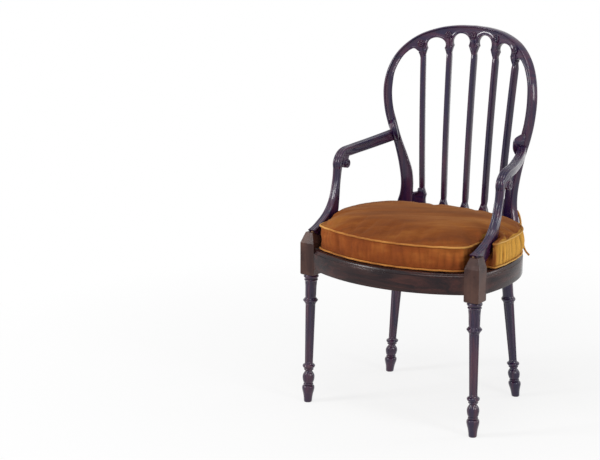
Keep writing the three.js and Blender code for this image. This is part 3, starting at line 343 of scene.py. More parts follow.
def drawn(name, rings):
    """A solid drawn out ring by ring: a filled circle is extruded, and each new ring is set."""
    count = len(rings[0])
    piece = start(bpy.ops.mesh.primitive_circle_add, name, vertices=count, fill_type="NGON")
    shape = bmesh.from_edit_mesh(piece.data)
    shape.verts.ensure_lookup_table()
    front = list(shape.verts)
    for vertex, place in zip(front, rings[0]):
        vertex.co = Vector(place) * MM
    bmesh.update_edit_mesh(piece.data)
    order = {tuple(round(c, 7) for c in v.co): i for i, v in enumerate(front)}
    for ring in rings[1:]:
        bpy.ops.mesh.extrude_region_move()
        shape = bmesh.from_edit_mesh(piece.data)
        moved = [v for v in shape.verts if v.select]
        where = [(v, order[tuple(round(c, 7) for c in v.co)]) for v in moved]
        for vertex, i in where:
            vertex.co = Vector(ring[i]) * MM
        order = {tuple(round(c, 7) for c in v.co): i for v, i in where}
        bmesh.update_edit_mesh(piece.data)
    leave()
    outward(piece)
    return piece


def turned(name, profile, radius_at=None, sides=96):
    """A turned solid from (height, radius) pairs; radius_at may carve it at an angle."""
    rings = []
    for z, radius in profile:
        ring = []
        for angle in turn_angles(sides):
            r = radius_at(angle, z, radius) if radius_at else radius
            ring.append((r * math.cos(angle), r * math.sin(angle), z))
        rings.append(ring)
    return drawn(name, rings)


def tube(name, points, radius, closed=False, sides=6, radii=None):
    """A round tube along the points, from a curve."""
    deselect()
    bpy.ops.curve.primitive_nurbs_path_add()
    line = bpy.context.object
    line.name = name
    data = line.data
    data.splines.clear()
    spline = data.splines.new("POLY")
    spline.points.add(len(points) - 1)
    for i, place in enumerate(points):
        spline.points[i].co = (*(Vector(place) * MM), 1)
        spline.points[i].radius = radii[i] if radii else 1
    spline.use_cyclic_u = closed
    data.dimensions = "3D"
    data.twist_mode = "MINIMUM"
    data.bevel_depth = radius * MM
    data.bevel_resolution = sides
    data.use_fill_caps = not closed
    use(line)
    bpy.ops.object.convert(target="MESH")
    piece = bpy.context.object
    piece.name = piece.data.name = name
    outward(piece)
    smooth(piece, 50)
    return piece


def moved(piece, matrix):
    piece.data.transform(matrix)
    piece.data.update()
    return piece


def places_of(piece):
    return np.array([tuple(v.co) for v in piece.data.vertices])


def set_places(piece, places):
    piece.data.vertices.foreach_set("co", places.ravel())
    piece.data.update()


def copy_of(piece, name, matrix=None):
    deselect()
    double = piece.copy()
    double.data = piece.data.copy()
    double.name = double.data.name = name
    bpy.context.collection.objects.link(double)
    if matrix:
        moved(double, matrix)
    return double


def mirrored(piece, name):
    double = copy_of(piece, name, Matrix.Scale(-1, 4, (1, 0, 0)))
    outward(double)
    return double


def finished(piece, finish, nodes=(), at_axes=True):
    """Moves the piece to the frame's origin, gives it its finish and its body, and hides the CAD nodes it
    stands in for.

    A piece without a finish here keeps those of its parts."""
    if at_axes:
        moved(piece, Matrix.Translation(AXES_TO_FRAME))
    if finish:
        piece.data.materials.clear()
        piece.data.materials.append(finish)
    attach(piece, "root")
    if nodes:
        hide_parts(*nodes)
    return piece


# Carved plates, in millimetres

EDGE_RINGS = (0.5, 1.1, 1.7, 2.3, 2.9, 3.5, 4.0, 4.5, 5.4, 6.6, 8.2, 10.4)
GRID = 4


def distances(points, lines):
    """How far each flat point lies from the nearest of the lines."""
    points = np.asarray(points, dtype=float)
    best = np.full(len(points), 1e9)
    for line in lines:
        a, b = line[:-1], line[1:]
        ab = b - a
        span = np.maximum((ab ** 2).sum(axis=1), 1e-12)
        for first in range(0, len(points), 2000):
            part = points[first:first + 2000]
            ap = part[:, None, :] - a[None, :, :]
            t = np.clip((ap * ab[None, :, :]).sum(axis=2) / span, 0, 1)
            gap = ap - t[:, :, None] * ab[None, :, :]
            near = np.sqrt((gap ** 2).sum(axis=2)).min(axis=1)
            best[first:first + 2000] = np.minimum(best[first:first + 2000], near)
    return best


def inside(points, outline):
    """Which flat points lie inside a closed outline."""
    x, y = points[:, 0], points[:, 1]
    result = np.zeros(len(points), dtype=bool)
    for (x1, y1), (x2, y2) in zip(outline, np.roll(outline, -1, axis=0)):
        crosses = (y1 > y) != (y2 > y)
        if crosses.any():
            at = (x2 - x1) * (y - y1) / (y2 - y1 if y2 != y1 else 1e-12) + x1
            result ^= crosses & (x < at)
    return result


def field_points(outline, rings, spacing):
    """Points inside an outline, in lines beside its edge and then in a grid."""
    closed = np.vstack([outline, outline[:1]])
    inwards = across_of(np.roll(outline, -1, axis=0) - np.roll(outline, 1, axis=0))
    kept = []
    for ring in rings:
        candidates = outline + inwards * ring
        good = inside(candidates, outline) & (distances(candidates, [closed]) > ring * 0.985 - 0.01)
        kept.append(candidates[good])
    low, high = outline.min(axis=0), outline.max(axis=0)
    xs = np.arange(low[0], high[0], GRID)
    ys = np.arange(low[1], high[1], GRID)
    grid = np.array([(x + (j % 2) * GRID / 2, y) for j, y in enumerate(ys) for x in xs])
    grid = grid[inside(grid, outline)]
    kept.append(grid[distances(grid, [closed]) > rings[-1] + GRID * 0.6])
    result, used = [], set()
    cell = spacing * 0.22
    for point in np.vstack(kept):
        key = (int(point[0] // cell), int(point[1] // cell))
        if key not in used:
            used.add(key)
            result.append(point)
    return np.array(result)


def carved_plate(name, outline, moulded, place, spacing=1.6, rings=EDGE_RINGS):
    """A plate with the hoop's faces, carved by the distance from its moulded lines.

    place bends a flat point, with its depth, to its place on the back."""
    outline = np.array(outline, dtype=float)
    before, after = outline, np.roll(outline, -1, axis=0)
    if np.sum(before[:, 0] * after[:, 1] - after[:, 0] * before[:, 1]) < 0:
        outline = outline[::-1]
    points = np.vstack([outline, field_points(outline, rings, spacing)])
    loop = [list(range(len(outline)))]
    places, _, faces, *_ = delaunay_2d_cdt([Vector(p) for p in points], [], loop, 1, 1e-5)
    flat = np.array([(p.x, p.y) for p in places])
    depth = distances(flat, moulded)
    edges = {(a, b) for face in faces for a, b in zip(face, face[1:] + face[:1])}
    total = len(flat)
    vertices = []
    for face in (hoop_front, hoop_back):
        vertices += [place(x, face(d), z) * MM for (x, z), d in zip(flat, depth)]
    polygons = [tuple(face) for face in faces]
    polygons += [tuple(total + i for i in reversed(face)) for face in faces]
    polygons += [(b, a, total + a, total + b) for a, b in sorted(edges) if (b, a) not in edges]
    mesh = bpy.data.meshes.new(name)
    mesh.from_pydata(vertices, [], polygons)
    piece = bpy.data.objects.new(name, mesh)
    bpy.context.collection.objects.link(piece)
    outward(piece)
    return piece


# Finishes

def node_of(tree, kind, inputs=None, **settings):
    """A node with its settings; an input is a value or another node's output."""
    made = tree.nodes.new(kind)
    for key, value in settings.items():
        setattr(made, key, value)
    for key, value in (inputs or {}).items():
        if isinstance(value, bpy.types.NodeSocket):
            tree.links.new(value, made.inputs[key])
        else:
            made.inputs[key].default_value = value
    return made


def ramp(tree, factor, low, low_colour, high, high_colour):
    made = node_of(tree, "ShaderNodeValToRGB", {"Fac": factor})
    for band, place, colour in zip(made.color_ramp.elements, (low, high), (low_colour, high_colour)):
        band.position, band.color = place, (*colour, 1)
    return made.outputs["Color"]


def mixed(tree, factor, a, b, blend="MIX"):
    made = node_of(tree, "ShaderNodeMix", {0: factor, 6: a, 7: b}, data_type="RGBA", blend_type=blend)
    return made.outputs[2]


def ranged(tree, value, low, high, to_low=0, to_high=1):
    made = node_of(tree, "ShaderNodeMapRange", {
        "Value": value, "From Min": low, "From Max": high, "To Min": to_low, "To Max": to_high})
    return made.outputs["Result"]


def maths(tree, operation, a, b):
    return node_of(tree, "ShaderNodeMath", {0: a, 1: b}, operation=operation).outputs[0]


def mapped(tree, place, scale=(1, 1, 1), turn=(0, 0, 0)):
    return node_of(tree, "ShaderNodeMapping", {"Vector": place, "Scale": scale, "Rotation": turn}).outputs[0]


def noise(tree, place, scale, detail, rough=0.5, twist=0):
    made = node_of(tree, "ShaderNodeTexNoise", {
        "Vector": place, "Scale": scale, "Detail": detail, "Roughness": rough, "Distortion": twist})
    return made.outputs["Fac"]


def new_group(name, inputs):
    """A shared effect with its inputs and outputs; inputs are pairs of a name and a kind."""
    group = bpy.data.node_groups.new(name, "ShaderNodeTree")
    for key, kind in inputs:
        group.interface.new_socket(name=key, in_out="INPUT", socket_type="NodeSocket" + kind)
    for key, kind in (("Color", "Color"), ("Roughness", "Float"), ("Height", "Float")):
        group.interface.new_socket(name=key, in_out="OUTPUT", socket_type="NodeSocket" + kind)
    return group, group.nodes.new("NodeGroupInput").outputs, group.nodes.new("NodeGroupOutput").inputs


def effect(tree, group, place, **inputs):
    """The outputs of a shared effect, given a place, values and colours."""
    values = {"Place": place}
    for key, value in inputs.items():
        values[key.capitalize()] = (*value, 1) if isinstance(value, tuple) else value
    return node_of(tree, "ShaderNodeGroup", values, node_tree=group).outputs


def wood_figure():
    """Grain, pores and cloudy polish of old mahogany, along the Z axis of its place, with painted shade that
    darkens its hollows.
    """
    group, given, result = new_group("wood figure", (
        ("Place", "Vector"), ("Dark", "Color"), ("Warm", "Color"), ("Worn", "Color"), ("Wear", "Float")))
    place = given["Place"]
    stretched = mapped(group, place, scale=(1, 1, 0.07))
    bands = noise(group, stretched, 46, 3, 0.55, 1.2)
    clouds = noise(group, place, 15, 4)
    pores = noise(group, mapped(group, place, scale=(1, 1, 0.045)), 900, 2)
    fine = ranged(group, noise(group, stretched, 330, 5, 0.62, 0.4), 0.4, 0.68)
    edge = node_of(group, "ShaderNodeNewGeometry").outputs["Pointiness"]
    rubbed = maths(group, "MULTIPLY", ranged(group, edge, 0.515, 0.58), ranged(group, clouds, 0.42, 0.62))
    # painted shade: the hollows of the carving are darkened towards near black
    hollow = ranged(group, edge, 0.49, 0.42, 0, 0.7)
    colour = mixed(group, ranged(group, bands, 0.42, 0.66), given["Dark"], given["Warm"])
    colour = mixed(group, ranged(group, fine, 0, 1, 0, 0.55), colour, given["Dark"])
    colour = mixed(group, maths(group, "MULTIPLY", rubbed, given["Wear"]), colour, given["Worn"])
    colour = mixed(group, hollow, colour, (0.006, 0.003, 0.004, 1))
    group.links.new(colour, result["Color"])
    group.links.new(ranged(group, clouds, 0.3, 0.7, 0.2, 0.38), result["Roughness"])
    group.links.new(maths(group, "SUBTRACT", fine, ranged(group, pores, 0.58, 0.7)), result["Height"])
    return group


def new_finish(name):
    """A material with its nodes, its shader and the piece's own coordinates."""
    finish = bpy.data.materials.new(name)
    finish.use_nodes = True
    tree = finish.node_tree
    return finish, tree, tree.nodes["Principled BSDF"], node_of(tree, "ShaderNodeTexCoord").outputs["Object"]


def dress(tree, shader, colour, rough, height, strength, rise):
    """Gives the shader its colour and roughness, and a fine relief of that strength and rise."""
    tree.links.new(colour, shader.inputs["Base Color"])
    tree.links.new(rough, shader.inputs["Roughness"])
    bump = node_of(tree, "ShaderNodeBump", {"Strength": strength, "Distance": rise, "Height": height})
    tree.links.new(bump.outputs["Normal"], shader.inputs["Normal"])


def polished_wood(name, figure, turn, coat=0.58, **colours):
    """French-polished wood; turn lays the grain along the piece."""
    finish, tree, shader, place = new_finish(name)
    wood = effect(tree, figure, mapped(tree, place, turn=turn), **colours)
    dress(tree, shader, wood["Color"], wood["Roughness"], wood["Height"], 0.18, 0.0004)
    shader.inputs["Specular IOR Level"].default_value = 0.2
    shader.inputs["Coat Weight"].default_value = coat
    shader.inputs["Coat Roughness"].default_value = 0.1
    return finish


def velvet_nap():
    """The nap of a silk velvet: long brushed streaks and fine pile, with painted light: a pale painted sheen
    on its side facing +X, a redder front face, fold ridges painted lighter, and fold valleys and creases
    painted darker.
    """
    # Side is the pale sheen colour painted on the side facing +X; Fold carries the painted light and shade of
    # the folds.
    group, given, result = new_group("velvet nap", (
        ("Place", "Vector"), ("Fold", "Float"), ("Deep", "Color"), ("Middle", "Color"), ("Bright", "Color"),
        ("Side", "Color")))
    place = given["Place"]
    long_way = mapped(group, mapped(group, place, turn=(0, 0, -0.5)), scale=(0.22, 1, 1))
    strokes = ranged(group, noise(group, long_way, 120, 3, 0.6), 0.3, 0.7, -0.04, 0.04)
    broad = ranged(group, noise(group, place, 5.5, 2), 0.3, 0.7, -0.07, 0.07)
    nap = maths(group, "ADD", maths(group, "ADD", noise(group, long_way, 19, 3, 0.5, 0.5), strokes), broad)
    pile = noise(group, place, 1900, 2)
    surface = node_of(group, "ShaderNodeNewGeometry").outputs
    facing = node_of(group, "ShaderNodeSeparateXYZ", {0: surface["Normal"]}).outputs
    spot = node_of(group, "ShaderNodeSeparateXYZ", {0: place}).outputs
    # painted sheen: the side facing +X, behind the front, is turned to the pale side colour
    painted_sheen_side = maths(group, "MULTIPLY", ranged(group, facing["X"], 0.6, 0.86, 0, 0.95),
                    ranged(group, spot["Y"], -0.115, -0.09))
    # painted light and shade of the folds: ridges lighter and valleys darker, over the fine pile
    pile_and_painted_fold_shade = maths(group, "MULTIPLY", ranged(group, pile, 0.3, 0.7, 0.88, 1.08),
                  ranged(group, given["Fold"], -1, 1, 0.5, 1.5))
    # painted light: faces turned to the front are painted redder and brighter
    painted_front_red = maths(group, "MULTIPLY", pile_and_painted_fold_shade, ranged(group, facing["Y"], -0.4, -0.85, 1, 1.16))
    pile_and_painted_light_tint = node_of(group, "ShaderNodeCombineColor", {0: painted_front_red, 1: pile_and_painted_fold_shade, 2: pile_and_painted_fold_shade}).outputs[0]
    shade = mixed(group, ranged(group, nap, 0.33, 0.5), given["Deep"], given["Middle"])
    shade = mixed(group, ranged(group, nap, 0.52, 0.7), shade, given["Bright"])
    shade = mixed(group, painted_sheen_side, shade, given["Side"])
    # the painted fold light and shade and the painted redder front, laid over the colour
    shade = mixed(group, 1, shade, pile_and_painted_light_tint, "MULTIPLY")
    # painted shade: creases, where the surface is hollow, are drawn towards the deep colour
    shade = mixed(group, ranged(group, surface["Pointiness"], 0.49, 0.44, 0, 0.5), shade, given["Deep"])
    group.links.new(shade, result["Color"])
    group.links.new(ranged(group, nap, 0.3, 0.7, 0.95, 0.75), result["Roughness"])
    group.links.new(pile, result["Height"])
    return group


def velvet(name, nap, sheen, **colours):
    finish, tree, shader, place = new_finish(name)
    # fold: the folds' painted light and shade, stored on the cushion
    fold = node_of(tree, "ShaderNodeAttribute", attribute_name="fold").outputs["Fac"]
    cloth = effect(tree, nap, place, fold=fold, **colours)
    dress(tree, shader, cloth["Color"], cloth["Roughness"], cloth["Height"], 0.3, 0.0004)
    shader.inputs["Specular IOR Level"].default_value = 0.12
    shader.inputs["Sheen Weight"].default_value = sheen
    shader.inputs["Sheen Roughness"].default_value = 0.35
    shader.inputs["Sheen Tint"].default_value = (1.0, 0.62, 0.28, 1)
    return finish


def dark_iron():
    finish, tree, shader, place = new_finish("dark iron")
    rust = noise(tree, place, 420, 4)
    colour = ramp(tree, rust, 0.4, (0.11, 0.1, 0.095), 0.65, (0.13, 0.07, 0.04))
    dress(tree, shader, colour, ranged(tree, rust, 0.3, 0.7, 0.35, 0.7), rust, 0.3, 0.0002)
    shader.inputs["Metallic"].default_value = 0.9
    return finish


def woven_cane():
    """Six-way cane: pairs of upright and level strands with crossed ones, open between them."""
    finish, tree, shader, place = new_finish("woven cane")
    spot = node_of(tree, "ShaderNodeSeparateXYZ", {0: place}).outputs

    def strands(value, pitch, offset, width):
        at = maths(tree, "PINGPONG", maths(tree, "ADD", value, offset), pitch)
        return maths(tree, "LESS_THAN", at, width)

    x, y = spot["X"], spot["Y"]
    rise, fall = maths(tree, "ADD", x, y), maths(tree, "SUBTRACT", x, y)
    masks = [strands(axis, 0.0065, offset, 0.0011) for axis in (x, y) for offset in (0.0014, 0.005)]
    masks += [strands(axis, 0.0092, 0.002, 0.0012) for axis in (rise, fall)]
    cover = masks[0]
    for mask in masks[1:]:
        cover = maths(tree, "MAXIMUM", cover, mask)
    tone = noise(tree, place, 160, 3)
    colour = ramp(tree, tone, 0.35, (0.3, 0.19, 0.08), 0.65, (0.52, 0.36, 0.17))
    tree.links.new(colour, shader.inputs["Base Color"])
    tree.links.new(cover, shader.inputs["Alpha"])
    tree.links.new(ranged(tree, tone, 0.3, 0.7, 0.35, 0.6), shader.inputs["Roughness"])
    return finish


# Outlines of the back, in millimetres

JOINT_STEPS = 34
HEAD_HOLLOW = ((0.7, 0.85), (0.42, 0.63), (0.19, 0.38), (0.05, 0.16), (0, 0))
FOOT_HOLLOW = ((0, 0), (0.05, 0.16), (0.17, 0.36), (0.38, 0.6), (0.7, 0.84), (0.93, 0.97))
NECK_HALF = BAR_BODY / 2 - 0.5


def head_points(i):
    """Both sides of one bar's head, from its cusp down to its neck."""
    x = share_x(BAR_HEADS[i])
    neck = share_z(HEAD_NECKS[i] - NECK_DROP)
    wide = HEAD_WIDTHS[i] * BAR_WIDTH
    sides = []
    for side, cusp_share in zip((-1, 1), HEAD_CUSPS[i]):
        cusp = share_z(cusp_share)
        line = [(x + side * (wide + out), cusp + up) for out, up in ((-0.9, 2.6), (0.1, 0.9), (-0.3, -0.7))]
        line += [(x + side * lerp(NECK_HALF, wide, out), lerp(neck, cusp, up)) for out, up in HEAD_HOLLOW]
        sides.append(line)
    return sides[0], sides[1][::-1]


def eased(t):
    t = min(max(t, 0.0), 1.0)
    return t * t * (3 - 2 * t)


def thinned(x, depth, z, places, necks, way, reach):
    """Brings the faces of a rail down to a bar's, where it narrows to the bar's neck."""
    for place, neck in zip(places, necks):
        if abs(x - place) < 1.4 * BAR_WIDTH:
            share = math.sin(min(max(way * (z - neck) / reach, 0), 1) * math.pi / 2)
            return depth * lerp(0.15 if depth < 0 else 0.45, 1, share)
    return depth


def on_crest(x, depth, z):
    places = [share_x(share) for share in BAR_HEADS]
    necks = [share_z(share - NECK_DROP) for share in HEAD_NECKS]
    return back_point(x, thinned(x, depth, z, places, necks, 1, 24), z)


def on_lower_rail(x, depth, z):
    places = [share_x(share) for share in BAR_FEET]
    necks = [share_z(share) for share in FOOT_NECKS]
    return back_point(x, thinned(x, depth, z, places, necks, -1, 20), z)


def arch(start, end, top):
    """One horseshoe arch between two cusps, as points; it hangs down where its top is below them."""
    tuck = math.radians(21)
    middle = (start[0] + end[0]) / 2
    radius = (middle - start[0]) / math.cos(tuck)
    line = []
    for t in steps(24):
        angle = lerp(-tuck, math.pi + tuck, t)
        rise = (math.sin(angle) + math.sin(tuck)) / (1 + math.sin(tuck))
        base = lerp(start[1], end[1], t)
        line.append((middle - radius * math.cos(angle), base + (top - base) * rise))
    return line


def back_lines():
    """The moulded lines of the hoop: its outer edge, and the lines between two bars' necks."""
    outer = [(-x, z) for x, z in OUTER_LINE] + OUTER_LINE[-2::-1]
    heads = [head_points(i) for i in range(5)]
    first = heads[0][0]
    lead = [(-x, z) for x, z in INNER_LINE]
    half_arch_x = lerp(lead[-1][0], first[0][0], 0.45)
    tail = flat_line([lead[-1], (half_arch_x, share_z(0.878)), first[0]], 14)
    left = lead + tail[1:] + first[1:]
    openings = [left]
    for i, top in enumerate(ARCH_TOPS):
        rise, fall = heads[i][1], heads[i + 1][0]
        openings.append(rise[:-1] + arch(rise[-1], fall[0], share_z(top)) + fall[1:])
    openings.append([(-x, z) for x, z in left[::-1]])
    return outer, openings


def joint_row(side):
    """Points along the joint of stile and crest rail, from the outer edge to the inner one."""
    outer, inner = [at_height(line, CREST_JOINT_Z) for line in (OUTER_LINE, INNER_LINE)]
    return [(side * lerp(outer, inner, t), CREST_JOINT_Z) for t in steps(JOINT_STEPS)]


def crest_outline(outer, openings):
    left, right = joint_row(-1), joint_row(1)
    line = [left[-1]]
    for opening in openings:
        line += spaced([(x, z) for x, z in opening if z > CREST_JOINT_Z], 1.3)
    above = [left[0]] + [(x, z) for x, z in outer if z > CREST_JOINT_Z]
    return line + right[::-1] + spaced(above, 1.3)[::-1] + left[1:-1]


def stile_outline(side):
    heights = np.append(np.arange(RAIL_TOP - 4, CREST_JOINT_Z - 0.8, 1.3), CREST_JOINT_Z)
    rise = [(side * at_height(OUTER_LINE, z), z) for z in heights]
    fall = [(side * at_height(INNER_LINE, z), z) for z in heights[::-1]]
    return rise + joint_row(side)[1:-1] + fall + spaced([fall[-1], rise[0]], 2)[1:-1]


def foot_sides(i):
    """Both sides of one bar's foot, from its neck down to the end of its cusp."""
    x, neck = share_x(BAR_FEET[i]), share_z(FOOT_NECKS[i])
    sides = []
    for side in (-1, 1):
        outermost = (i, side) in ((0, -1), (4, 1))
        wide, drop = (13.8, 10) if outermost else (12.3, 25)
        line = [(x + side * lerp(NECK_HALF, wide, out), neck - down * drop) for out, down in FOOT_HOLLOW]
        line += [(x + side * (wide + 0.2), neck - drop - 1.3), (x + side * (wide - 0.8), neck - drop - 3.4)]
        sides.append(line)
    return sides


def foot_lines():
    """The hollows between the bars' feet on the lower rail."""
    feet = [foot_sides(i) for i in range(5)]
    lines = []
    for i in range(4):
        rise, fall = feet[i][1], feet[i + 1][0]
        low = min(share_z(FOOT_NECKS[i]), share_z(FOOT_NECKS[i + 1])) - share_x(0.16)
        lines.append(rise[:-1] + arch(rise[-1], fall[-1], low) + fall[-2::-1])
    right = feet[4][1]
    low = share_z(FOOT_NECKS[4]) - 21
    edge = at_height(INNER_LINE, low) + 1.5
    x, z = right[-1]
    run = [(x, z), (x + 1.4, z - 3.6), (lerp(x, edge, 0.5), low + 1.6), (edge, low)]
    last = right[:-1] + flat_line(run, 12)
    return [[(-x, z) for x, z in last[::-1]]] + lines + [last]


# The back: the faces and the pieces of the hoop, in millimetres

BEAD = 4.4
BEAD_RISE = 2.4
BEAD_TURN = 0.93 * math.pi / 2


def hoop_front(d):
    """A bead along the edge, a fine quirk beside it and a hollow between."""
    face = -BACK_THICK / 2
    if d < BEAD:
        return face + BEAD_RISE * (1 - math.cos(BEAD_TURN * (2 * d / BEAD - 1)))
    return face + BEAD_RISE * (1 - math.cos(BEAD_TURN)) + 1.5 * math.sin(min((d - BEAD) / 6, 1) * math.pi / 2)


def hoop_back(d):
    face = BACK_THICK / 2
    u = 1 - min(d / 4.2, 1)
    return face - 4 * (1 - math.sqrt(max(0.0, 1 - u * u)))


def bar(i):
    """One upright bar: deep flat sides, and a raised, crowned band up its face."""
    w, t = BAR_BODY / 2, BAR_THICK / 2
    right = [
        (0, -t), (0.25 * w, -0.99 * t), (0.48 * w, -0.95 * t), (0.66 * w, -0.88 * t), (0.72 * w, -0.78 * t),
        (0.78 * w, -0.66 * t), (w - 0.5, -0.62 * t), (w, -0.5 * t), (w, 0), (w, 0.78 * t), (w - 0.5, 0.9 * t),
        (0.75 * w, 0.98 * t), (0.35 * w, t), (0, t),
    ]
    section = right + [(-x, y) for x, y in right[::-1][1:-1]]
    foot = (share_x(BAR_FEET[i]), share_z(FOOT_NECKS[i]) - BAR_RUN)
    head = (share_x(BAR_HEADS[i]), share_z(HEAD_NECKS[i] - NECK_DROP) + BAR_RUN)
    rings = []
    for s in sorted(steps(20) + [0.01, 0.02, 0.03, 0.07, 0.93, 0.97, 0.98, 0.99]):
        x, z = lerp(foot[0], head[0], s), lerp(foot[1], head[1], s)
        full = lerp(0.6, 1, eased(min(z - foot[1], head[1] - z) / 22))
        rings.append([back_point(x + px, (py + BAR_SET_BACK) * full, z) for px, py in section])
    piece = drawn(f"bar_{i + 1}", rings)
    smooth(piece, 32)
    return piece


def head_band(i):
    """The bar's raised band, run on over the crest to the rosette."""
    low, high = share_z(HEAD_NECKS[i] - NECK_DROP) - 2, ROSETTES[i] - 9
    half = 0.7 * BAR_BODY / 2
    rings = []
    for s in steps(12):
        face = lerp(-5.4, -BACK_THICK / 2 + 1.2, eased(1.3 * s))
        right = [(half, -1.5), (half, -2.6), (0.8 * half, face + 0.4), (0.45 * half, face), (0, face - 0.3)]
        section = right + [(-x, y) for x, y in right[::-1][1:]]
        middle = share_x(BAR_HEADS[i]) + ROSETTE_SHIFTS[i] * eased(s)
        rings.append([back_point(middle + x, y, lerp(low, high, s)) for x, y in section])
    return drawn("head_band", rings)


ROSETTES = (901, 926, 930.5, 927, 905)
ROSETTE_SHIFTS = (-6.8, -3.5, -3, 3.7, 3.3)
ROSETTE_DEPTH = -BACK_THICK / 2 + 2.6
ROSETTE_ROWS = (
    (8.9, 1.6, 0), (8.9, -1.2, 0), (8.4, -2.1, 0), (7.7, -2.3, 0), (7.1, -1.8, 0), (6.8, -0.9, 0),
    (6.5, -1.0, 0.25), (5.9, -1.9, 0.6), (5.0, -2.5, 0.9), (4.0, -2.3, 0.9), (3.1, -1.6, 0.6),
    (2.6, -1.1, 0), (2.4, -2.2, 0), (1.9, -3.0, 0), (1.0, -3.4, 0),
)


def rosette():
    """One carved rosette, flat in its own plane: a rim, eight petals and a button."""
    rings = []
    for radius, depth, cut in ROSETTE_ROWS:
        rings.append([(radius * math.cos(a), depth + cut * (1 - abs(math.sin(4 * a)) ** 0.6) * 1.3,
                       radius * 1.14 * math.sin(a)) for a in turn_angles(64)])
    piece = drawn("rosette", rings)
    smooth(piece, 45)
    return piece


def set_on_back(piece, name, x, z, depth):
    """Copies a flat piece to a place on the back's face, turned to lie on it."""
    middle = back_point(x, depth, z)
    across = (back_point(x + 1, depth, z) - back_point(x - 1, depth, z)).normalized()
    up = (back_point(x, depth, z + 1) - back_point(x, depth, z - 1)).normalized()
    behind = up.cross(-across).normalized()
    if behind.y < 0:
        behind.negate()
    turn = Matrix((across, behind, up)).transposed().to_4x4()
    return copy_of(piece, name, Matrix.Translation(middle * MM) @ turn)


def crest_rail(outer, openings):
    moulded = [np.array(line) for line in (outer, *openings)]
    plate = carved_plate("crest_plate", crest_outline(outer, openings), moulded, on_crest, spacing=1.3)
    piece = joined("hoop_crest", [plate] + [head_band(i) for i in range(5)])
    smooth(piece, 42)
    return piece


def stile(side, outer, openings):
    moulded = [np.array(line) for line in (outer, openings[0], openings[-1])]
    return carved_plate(f"stile_{side}", stile_outline(side), moulded, back_point, spacing=1.3,
                        rings=EDGE_RINGS + (13,))


def lower_rail():
    lines = foot_lines()
    edge = at_height(INNER_LINE, LOWER_RAIL_Z) + 1.5
    bottom = [(-edge, LOWER_RAIL_Z), (edge, LOWER_RAIL_Z)]
    outline = [p for line in lines for p in spaced(line, 1.5)] + spaced(bottom[::-1], 2.5)
    piece = carved_plate("lower_rail", outline, [np.array(line) for line in lines + [bottom]], on_lower_rail)
    smooth(piece, 42)
    return piece


# Turned legs: parts of a profile as (height, radius), each part smooth

FOOT = (
    ((0, 9.4), (0.8, 10.2), (10, 11.1), (20, 12.5), (27, 14.2), (33, 15.6), (38, 16.3), (42, 15.8),
     (44.6, 14.2), (45.6, 12)),
    ((46.2, 11.4), (47, 11.4)),
    ((47.4, 12.1), (48.3, 12.9), (49.7, 12.9), (50.7, 12.1)),
    ((51.2, 11.4), (52, 11.6), (54, 12.9), (58, 14.2), (63, 15.2), (68.5, 15.6), (73, 15), (77.5, 13.2),
     (81, 10.9), (84, 9.3), (85.4, 9.1), (86.2, 9.6)),
    ((86.8, 11.2), (88, 12.5), (89.5, 12.6), (90.7, 11.8)),
    ((91.3, 12.1), (92.2, 12.3)),
    ((92.9, 13.2), (94.6, 15), (97, 16.1), (99.4, 16.2), (101.2, 15.2), (102.4, 13.6)),
    ((103.2, 11.8), (104.2, 11.4), (105.6, 10.8)),
)
FRONT_NECK = (
    ((265.5, 12.9), (266.4, 13.7), (267.7, 14.4), (268.9, 14.3), (269.5, 14.0)),
    ((269.9, 15), (270.9, 16.5), (272.1, 17.1), (273, 16.8)),
    ((273.3, 17.7), (274.3, 19), (275.6, 19.5), (277, 19), (277.9, 17.7)),
    ((278.3, 16.9), (279.4, 17), (280.6, 16), (281.4, 14.8)),
    ((282.2, 14.1), (284, 13.8), (295, 13.8), (310, 14.1), (320, 14.7), (325, 15.3), (328, 15.7)),
    ((328.5, 16.3), (329.9, 17.7), (331.5, 17.6), (332.7, 16.5)),
    ((333.4, 15.5), (335.4, 15.6)),
    ((336, 17), (337.4, 18.9), (339.4, 19.5), (341.4, 19.3), (342.6, 18.3)),
    ((343.2, 17.8), (348, 17.8)),
)
REAR_NECK = (
    ((255.6, 14.2), (256.6, 14.9), (257.8, 15.1), (258.8, 14.7)),
    ((259.2, 15.6), (260.4, 17.2), (262.2, 18.3), (264, 18.5), (266, 18.2), (267.8, 17.1)),
    ((268.3, 15.9), (269.4, 15.8), (270.6, 15.1), (272, 14.5), (290, 14.5), (330, 15.2), (366, 15.8)),
)
FRONT_ANKLE, REAR_ANKLE = 99.5, 90.5
FRONT_SHAFT, REAR_SHAFT = (10.5, 12.9), (10.4, 14.1)
FRONT_SPLAY, REAR_SPLAY = (6, -6), (34, 11)
FLUTES = 8
FLUTE_DEPTH = 1.9
VASE_LOW, VASE_HIGH = 52.5, 84
VASE_LOBES = 10
LEAF_LOW, LEAF_HIGH = 283.5, 327.5
LEAVES = 8


def segments(table, scale=1.0):
    """The rows of a turned profile: smooth between fillets, which have two rows."""
    rows = []
    for part in table:
        part = [(z * scale, r) for z, r in part]
        rows += flat_line(part, (len(part) - 1) * 2) if len(part) > 2 else part
    return rows


def leg_rows(ankle, neck, low_radius, high_radius):
    foot = segments(FOOT, ankle / FRONT_ANKLE)
    head = segments(neck)
    low, high = foot[-1][0], head[0][0]
    ends = [2, 3, 4, 5.2, 6.6, 8.2, 10]
    places = [low + e for e in ends]
    places += [lerp(low + 12, high - 12, t) for t in steps(14)]
    places += [high - e for e in ends[::-1]]
    shaft = [(z, lerp(low_radius, high_radius, (z - low) / (high - low))) for z in places]
    return foot + shaft + head, low, high


def between(angle, count, offset=0.0):
    """The angle from the middle of the nearest of so many even parts, as a share of half a part."""
    step = 2 * math.pi / count
    return (((angle - offset) / step + 0.5) % 1 - 0.5) * 2


